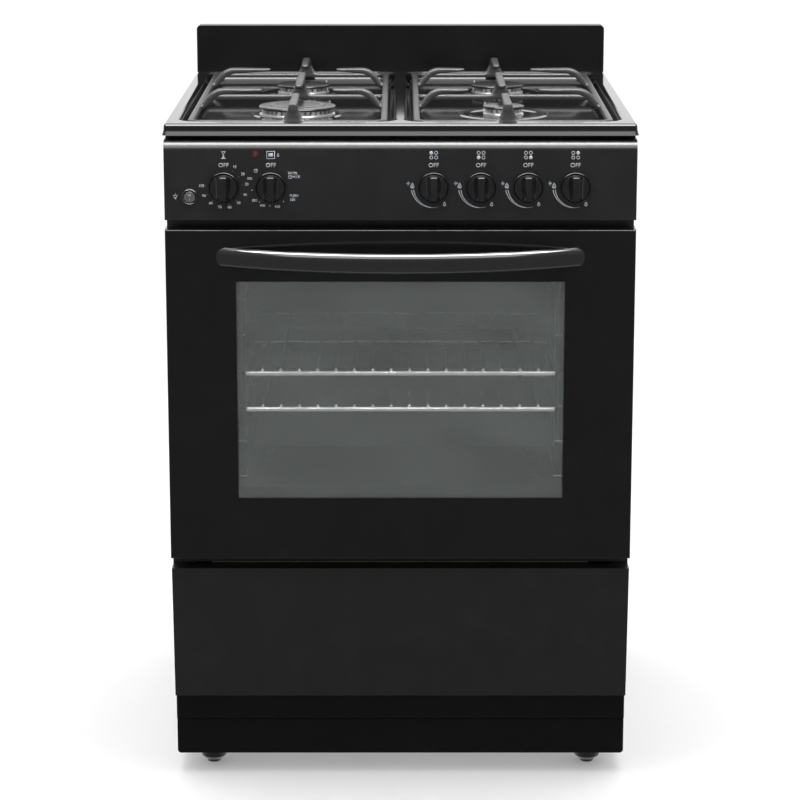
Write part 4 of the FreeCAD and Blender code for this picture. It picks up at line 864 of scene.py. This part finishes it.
def timer_marks(shell, sheet, size):
    """Hourglass, OFF and minutes from 10 to 100 round the timer knob."""
    for hand in (-1, 1):
        sheet.dash(shell, -3.0, 41.5 + 4.4 * hand, 3.0, 41.5 + 4.4 * hand, 0.8)
        sheet.dash(shell, 2.0 * hand, 45.5, -2.0 * hand, 37.6, 0.6)
    sheet.ring(shell, 0, 37.8, 1.9, 1.9, 0, 180, 12)
    for step in range(1, 11):
        angle = math.radians(MINUTE_TURN * step + MINUTE_START)
        sheet.ring(shell, 23.6 * math.sin(angle), 23.6 * math.cos(angle), 0.4, 0.4, steps=8)
    print_words(shell, "OFF", size, sheet.x, sheet.z + OFF_ABOVE)
    for step in range(1, 11):
        angle = math.radians(MINUTE_TURN * step + MINUTE_START)
        reach = (29.8 - 3.2 * smooth(1 - abs(step - 7) / 4.5)) * MM
        print_words(shell, str(10 * step), size * 0.62, sheet.x + reach * math.sin(angle),
                    sheet.z + reach * math.cos(angle))


def oven_marks(shell, sheet, size):
    """Oven signs, OFF and the temperatures round the oven knob."""
    sheet.frame(shell, 0, 41.6, 10.8, 10.0, 0.8)
    sheet.dash(shell, -2.9, 41.6, 2.9, 41.6, 4.2)
    sheet.flame(shell, 9.4, 42.0, 3.2, 5.0, 0.7)
    print_words(shell, "OFF", size, sheet.x, sheet.z + OFF_ABOVE)
    for text, clock, reach in (("300", 292, 29.5), ("350", 231, 27.5), ("400", 205, 26.5),
                               ("450", 163, 26.5), ("500", 121, 32.0), ("PUSH", 111, 31.5),
                               ("BROIL", 57.5, 33.5), ("MAX", 68, 35.0)):
        angle = math.radians(clock)
        print_words(shell, text, size * 0.6, sheet.x + reach * MM * math.sin(angle),
                    sheet.z + reach * MM * math.cos(angle))
    for clock in (261, 218, 184, 140):
        angle = math.radians(clock)
        sheet.ring(shell, 24.6 * math.sin(angle), 24.6 * math.cos(angle), 0.6, 0.6, steps=10)
    for x, z in ((-19.5, 21.2), (24.4, 13.2)):
        sheet.frame(shell, x, z, 4.2, 4.2, 0.6)
        sheet.dash(shell, x - 1.2, z + 0.7, x + 1.2, z + 0.7, 0.5)


def build_printing(look):
    """Generic signs on the control panel: burner plans, OFF, flames, minutes, temperatures."""
    shell = Shell()
    size = look.print_size
    for knob, filled in BURNER_OF_KNOB.items():
        burner_marks(shell, Sheet(middle(knob)[0], KNOB_AXIS_Z), filled, size)
    timer_marks(shell, Sheet(middle("knob_timer")[0], KNOB_AXIS_Z), size)
    oven_marks(shell, Sheet(middle("knob_oven")[0], KNOB_AXIS_Z), size)
    switch = middle("rocker_frame")
    bulb = Sheet(switch[0] - 18.4 * MM, switch[2])
    bulb.ring(shell, 0, 0.6, 2.1, 0.7)
    bulb.dash(shell, -0.9, -2.2, 0.9, -2.2, 1.1)
    for clock in (-60, 0, 60):
        angle = math.radians(clock)
        bulb.dash(shell, 2.9 * math.sin(angle), 0.6 + 2.9 * math.cos(angle), 4.0 * math.sin(angle),
                  0.6 + 4.0 * math.cos(angle), 0.5)
    thicken(shell.piece("panel_printing", "cabinet", "print_ink", outwards=False), 0.08 * MM)


# ------------------------------------------------------------------ finishes and stage
def give_finishes(look):
    """Assigns every CAD node the finish of its record slot."""
    finishes = range_finishes(look)
    slots = {part["node"]: part["material_slot"] for part in frame["record"]["subparts"]}
    for node, made in frame["nodes"].items():
        finish = finishes[slots[node]]
        if node in OWN_FINISH:
            finish = finishes[OWN_FINISH[node]]
        for holder in made.material_slots:
            holder.material = finish
        if not made.material_slots:
            made.data.materials.append(finish)


def soft_light(name, size, power, place, target):
    """Rectangular soft light that faces a target."""
    lamp = bpy.data.lights.new(name, "AREA")
    lamp.shape = "RECTANGLE"
    lamp.size, lamp.size_y = size
    lamp.energy = power
    made = bpy.data.objects.new(name, lamp)
    bpy.context.scene.collection.objects.link(made)
    made.location = place
    heading = np.array(target, float) - np.array(place, float)
    made.rotation_euler = look_angles(heading)
    return made


def look_angles(heading):
    """Euler angles of a lamp or camera whose -Z axis lies along the heading, kept level."""
    level = math.hypot(heading[0], heading[1])
    return (math.pi / 2 + math.atan2(heading[2], level), 0.0, math.atan2(-heading[0], heading[1]))


def build_stage(look):
    """Pale floor and surroundings, soft lights and the camera."""
    floor = bpy.data.meshes.new("floor")
    reach = 30.0
    floor.from_pydata([(-reach, -reach, 0), (reach, -reach, 0), (reach, reach, 0), (-reach, reach, 0)], [],
                      [(0, 1, 2, 3)])
    finish = Finish(bpy.data.materials.new("studio_floor"))
    clouds = finish.noise(1.2, 3.0)
    floor.materials.append(finish.surface({
        "Base Color": finish.mix(clouds, rgba(0.78), rgba(0.82)),
        "Roughness": (clouds - 0.5) * 0.06 + 0.6,
        "Emission Color": finish.mix(clouds, rgba(0.97), rgba(1.0)),
        "Emission Strength": look.floor_lift,
        "Normal": finish.bump(finish.noise(300.0), 0.0001)}))
    made = bpy.data.objects.new("studio_floor", floor)
    bpy.context.scene.collection.objects.link(made)
    made.visible_glossy = False

    world = Finish(bpy.data.worlds.new("studio"))
    bpy.context.scene.world = world.owner
    heading = world.node("ShaderNodeTexCoord", output="Generated")
    apart = world.node("ShaderNodeSeparateXYZ", {}, {"Vector": heading})
    ahead = Wire(world, apart.socket.node.outputs["Y"])
    upward = Wire(world, apart.socket.node.outputs["Z"])
    behind = (ahead * 1.6 + 0.5).limited()
    above = (upward * 1.3).limited()
    rear_glow, sky_glow = 1.4, 0.35
    glow = behind * (rear_glow - look.front_glow) + look.front_glow + above * sky_glow
    seen = world.node("ShaderNodeLightPath", output="Is Camera Ray")
    surround = world.node("ShaderNodeBackground", {},
                          {"Color": rgba(1.0), "Strength": glow * look.world_strength})
    backdrop = world.node("ShaderNodeBackground", {}, {"Color": rgba(1.0), "Strength": 1.0})
    world.node_output("ShaderNodeOutputWorld",
                      world.node("ShaderNodeMixShader", {}, {0: seen, 1: surround, 2: backdrop}))
    soft_light("overhead", (2.4, 1.4), look.overhead_power, (0.0, -0.5, 2.9), (0.0, -0.1, 0.8))
    strip = soft_light("highlight_strip", (3.4, 0.75), look.strip_power, (0.0, -1.25, 2.7), (0.0, -0.3, 0.85))
    canopy = soft_light("glossy_canopy", (3.6, 2.6), look.canopy_power, (0.0, -1.9, 2.6), (0.0, -0.3, 0.85))
    for lamp in (strip, canopy):
        lamp.visible_diffuse = False
    left = soft_light("left_window", (1.2, 2.4), look.side_power, (-2.6, -2.2, 1.6), (0.0, -0.2, 0.5))
    right = soft_light("right_window", (1.2, 2.4), look.side_power * 0.8, (2.6, -2.2, 1.6), (0.0, -0.2, 0.5))
    for lamp in (left, right):
        lamp.visible_glossy = False

    lens = bpy.data.cameras.new("studio_camera")
    camera = bpy.data.objects.new("studio_camera", lens)
    bpy.context.scene.collection.objects.link(camera)
    lens.lens = look.camera_lens
    lens.shift_y = look.camera_shift
    camera.location = (-0.0006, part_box("hob_top")[0].y - look.camera_distance, look.camera_height)
    camera.rotation_euler = (math.radians(90 - look.camera_tilt), 0, 0)
    bpy.context.scene.camera = camera
    bpy.context.scene.view_settings.view_transform = "Standard"


# ------------------------------------------------------------------ settings, operators, panel
# Backguard, kick panel and lower rail take the darker enamel copy: painted shade where less light falls on
# them.
OWN_FINISH = {"door_inner_glass": "inner_glass", "door_outer_panel": "door_enamel",
              "backguard": "enamel_painted_shade", "kick_panel": "enamel_painted_shade", "lower_rail": "enamel_painted_shade"}
CAPS = ["burner_cap_" + place for place in ("front_left", "rear_left", "front_right", "rear_right")]
KNOBS = ["knob_timer", "knob_oven"] + ["knob_burner_" + str(number) for number in range(1, 5)]
KNOB_AXIS_Z = (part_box("knob_timer")[0].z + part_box("knob_timer")[1].z) / 2
PANEL_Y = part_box("control_panel")[0].y
PRINT_Y = PANEL_Y - 0.06 * MM
OFF_ABOVE = 28.2 * MM
MINUTE_TURN, MINUTE_START = 27.2, 1.4
BURNER_OF_KNOB = {"knob_burner_1": 0, "knob_burner_2": 2, "knob_burner_3": 3, "knob_burner_4": 1}


def length(name, description, default):
    """A length property in metres."""
    return FloatProperty(name=name, description=description, default=default, min=0.0, unit="LENGTH",
                         precision=5)


def colour(name, description, default):
    """A colour property."""
    return FloatVectorProperty(name=name, description=description, default=default, subtype="COLOR",
                               min=0.0, max=1.0)


def amount(name, description, default):
    """A plain number property."""
    return FloatProperty(name=name, description=description, default=default)


class RangeLook(bpy.types.PropertyGroup):
    """Sizes and colours of the range's looks and its stage."""

    front_colour: colour("Front enamel", "Colour of the satin enamel", (0.0052, 0.0052, 0.0055))
    iron_colour: colour("Grates", "Colour of the cast grates", (0.03, 0.03, 0.031))
    ink_colour: colour("Print", "Colour of the printed signs", (0.42, 0.46, 0.51))
    centre_rib: length("Centre rib", "Half width of the rib between the basins", 6 * MM)
    hob_edge_radius: length("Hob edge", "Radius of the hob's rolled edge", 4 * MM)
    hob_flare: length("Hob flare", "How far the skirt's foot stands out", 2.4 * MM)
    collar_height: length("Collar", "Height of the swelling round each burner", 0.8 * MM)
    cap_thickness: length("Lid", "Thickness of a burner lid's edge", 4.6 * MM)
    grate_bar: length("Grate bar", "Width of a grate's bars", 9 * MM)
    grate_reach: length("Finger gap", "Finger tips from a burner's axis", 47 * MM)
    grate_voxel: length("Casting detail", "Size of the detail kept where bars are joined", 1.9 * MM)
    rack_wire: length("Rack wire", "Thickness of a rack's wires", 4 * MM)
    rack_rod: length("Rack rod", "Thickness of a rack's frame", 6 * MM)
    rack_wires: IntProperty(name="Rack wires", description="Wires across a rack", default=16, min=2)
    knob_face_radius: length("Knob face", "Radius of a knob's scooped face", 17.6 * MM)
    knob_blade: length("Knob blade", "Width of a knob's grip", 9 * MM)
    knob_rear: length("Knob rear", "Y of the knobs' rear faces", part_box("knob_oven")[1].y)
    handle_half_span: length("Handle span", "Half the handle's span on its middle line", 222 * MM)
    handle_thickness: length("Handle thickness", "Depth of the handle's bar", 13 * MM)
    print_size: length("Print size", "Height of the word OFF's type", 7.7 * MM)
    floor_lift: amount("Floor lift", "Own light of the pale floor", 0.18)
    front_glow: amount("Front glow", "Brightness of the surroundings in front", 0.27)
    world_strength: amount("Surroundings", "Brightness of all surroundings", 0.9)
    overhead_power: amount("Overhead light", "Watts", 30.0)
    strip_power: amount("Highlight strip", "Watts, for glossy edges only", 230.0)
    canopy_power: amount("Glossy canopy", "Watts, for glossy surfaces only", 95.0)
    side_power: amount("Side lights", "Watts", 20.0)
    camera_lens: amount("Lens", "Focal length in millimetres", 123.5)
    camera_distance: length("Distance", "Camera in front of the hob's edge", 3.5)
    camera_height: length("Camera height", "Camera above the floor", 1.36)
    camera_tilt: amount("Tilt", "Camera's downward tilt in degrees", 12.77)
    camera_shift: amount("Shift", "Vertical lens shift", -0.03)


class StepOperator:
    """Shared by all steps: calls the step's builder with the scene's settings."""

    bl_options = {"REGISTER", "UNDO"}

    def execute(self, context):
        self.build(context.scene.range_look)
        return {"FINISHED"}


class RANGE_OT_finishes(StepOperator, bpy.types.Operator):
    """Give every CAD node its finish"""

    bl_idname = "gas_range.finishes"
    bl_label = "Finishes"
    build = staticmethod(give_finishes)


class RANGE_OT_hob(StepOperator, bpy.types.Operator):
    """Press the hob with its basins"""

    bl_idname = "gas_range.hob"
    bl_label = "Hob"
    build = staticmethod(build_hob)


class RANGE_OT_lids(StepOperator, bpy.types.Operator):
    """Make the burner lids"""

    bl_idname = "gas_range.lids"
    bl_label = "Burner lids"
    build = staticmethod(build_caps)


class RANGE_OT_grates(StepOperator, bpy.types.Operator):
    """Cast both grates"""

    bl_idname = "gas_range.grates"
    bl_label = "Grates"
    build = staticmethod(build_grates)


class RANGE_OT_knobs(StepOperator, bpy.types.Operator):
    """Mould the six knobs"""

    bl_idname = "gas_range.knobs"
    bl_label = "Knobs"
    build = staticmethod(build_knobs)


class RANGE_OT_panel_crown(StepOperator, bpy.types.Operator):
    """Roll the panel's top edge"""

    bl_idname = "gas_range.panel_crown"
    bl_label = "Panel crown"
    build = staticmethod(build_panel_crown)


class RANGE_OT_racks(StepOperator, bpy.types.Operator):
    """Bend and weld the oven racks"""

    bl_idname = "gas_range.racks"
    bl_label = "Racks"
    build = staticmethod(build_racks)


class RANGE_OT_switch(StepOperator, bpy.types.Operator):
    """Make the round rocker switch"""

    bl_idname = "gas_range.switch"
    bl_label = "Switch"
    build = staticmethod(build_switch)


class RANGE_OT_handle(StepOperator, bpy.types.Operator):
    """Make the bowed door handle"""

    bl_idname = "gas_range.handle"
    bl_label = "Door handle"
    build = staticmethod(build_handle)


class RANGE_OT_printing(StepOperator, bpy.types.Operator):
    """Print the signs on the control panel"""

    bl_idname = "gas_range.printing"
    bl_label = "Panel printing"
    build = staticmethod(build_printing)


class RANGE_OT_stage(StepOperator, bpy.types.Operator):
    """Set the floor, lights and camera"""

    bl_idname = "gas_range.stage"
    bl_label = "Stage"
    build = staticmethod(build_stage)


STEPS = (RANGE_OT_finishes, RANGE_OT_hob, RANGE_OT_lids, RANGE_OT_grates, RANGE_OT_knobs,
         RANGE_OT_panel_crown, RANGE_OT_racks, RANGE_OT_switch, RANGE_OT_handle,
         RANGE_OT_printing, RANGE_OT_stage)


class RANGE_PT_looks(bpy.types.Panel):
    """Buttons for the steps, and the settings"""

    bl_idname = "RANGE_PT_looks"
    bl_label = "Gas range looks"
    bl_space_type = "VIEW_3D"
    bl_region_type = "UI"
    bl_category = "Range"

    def draw(self, context):
        look = context.scene.range_look
        for step in STEPS:
            self.layout.operator(step.bl_idname)
        for name in look.bl_rna.properties.keys():
            if name not in ("rna_type", "name"):
                self.layout.prop(look, name)


def register():
    """Registers the settings, the steps and the panel."""
    for kind in (RangeLook,) + STEPS + (RANGE_PT_looks,):
        bpy.utils.register_class(kind)
    bpy.types.Scene.range_look = PointerProperty(type=RangeLook)


def unregister():
    """Takes everything out again."""
    del bpy.types.Scene.range_look
    for kind in reversed((RangeLook,) + STEPS + (RANGE_PT_looks,)):
        bpy.utils.unregister_class(kind)


def main():
    """Runs every step in order."""
    register()
    for step in STEPS:
        group, name = step.bl_idname.split(".")
        getattr(getattr(bpy.ops, group), name)()


if __name__ == "__main__":
    main()
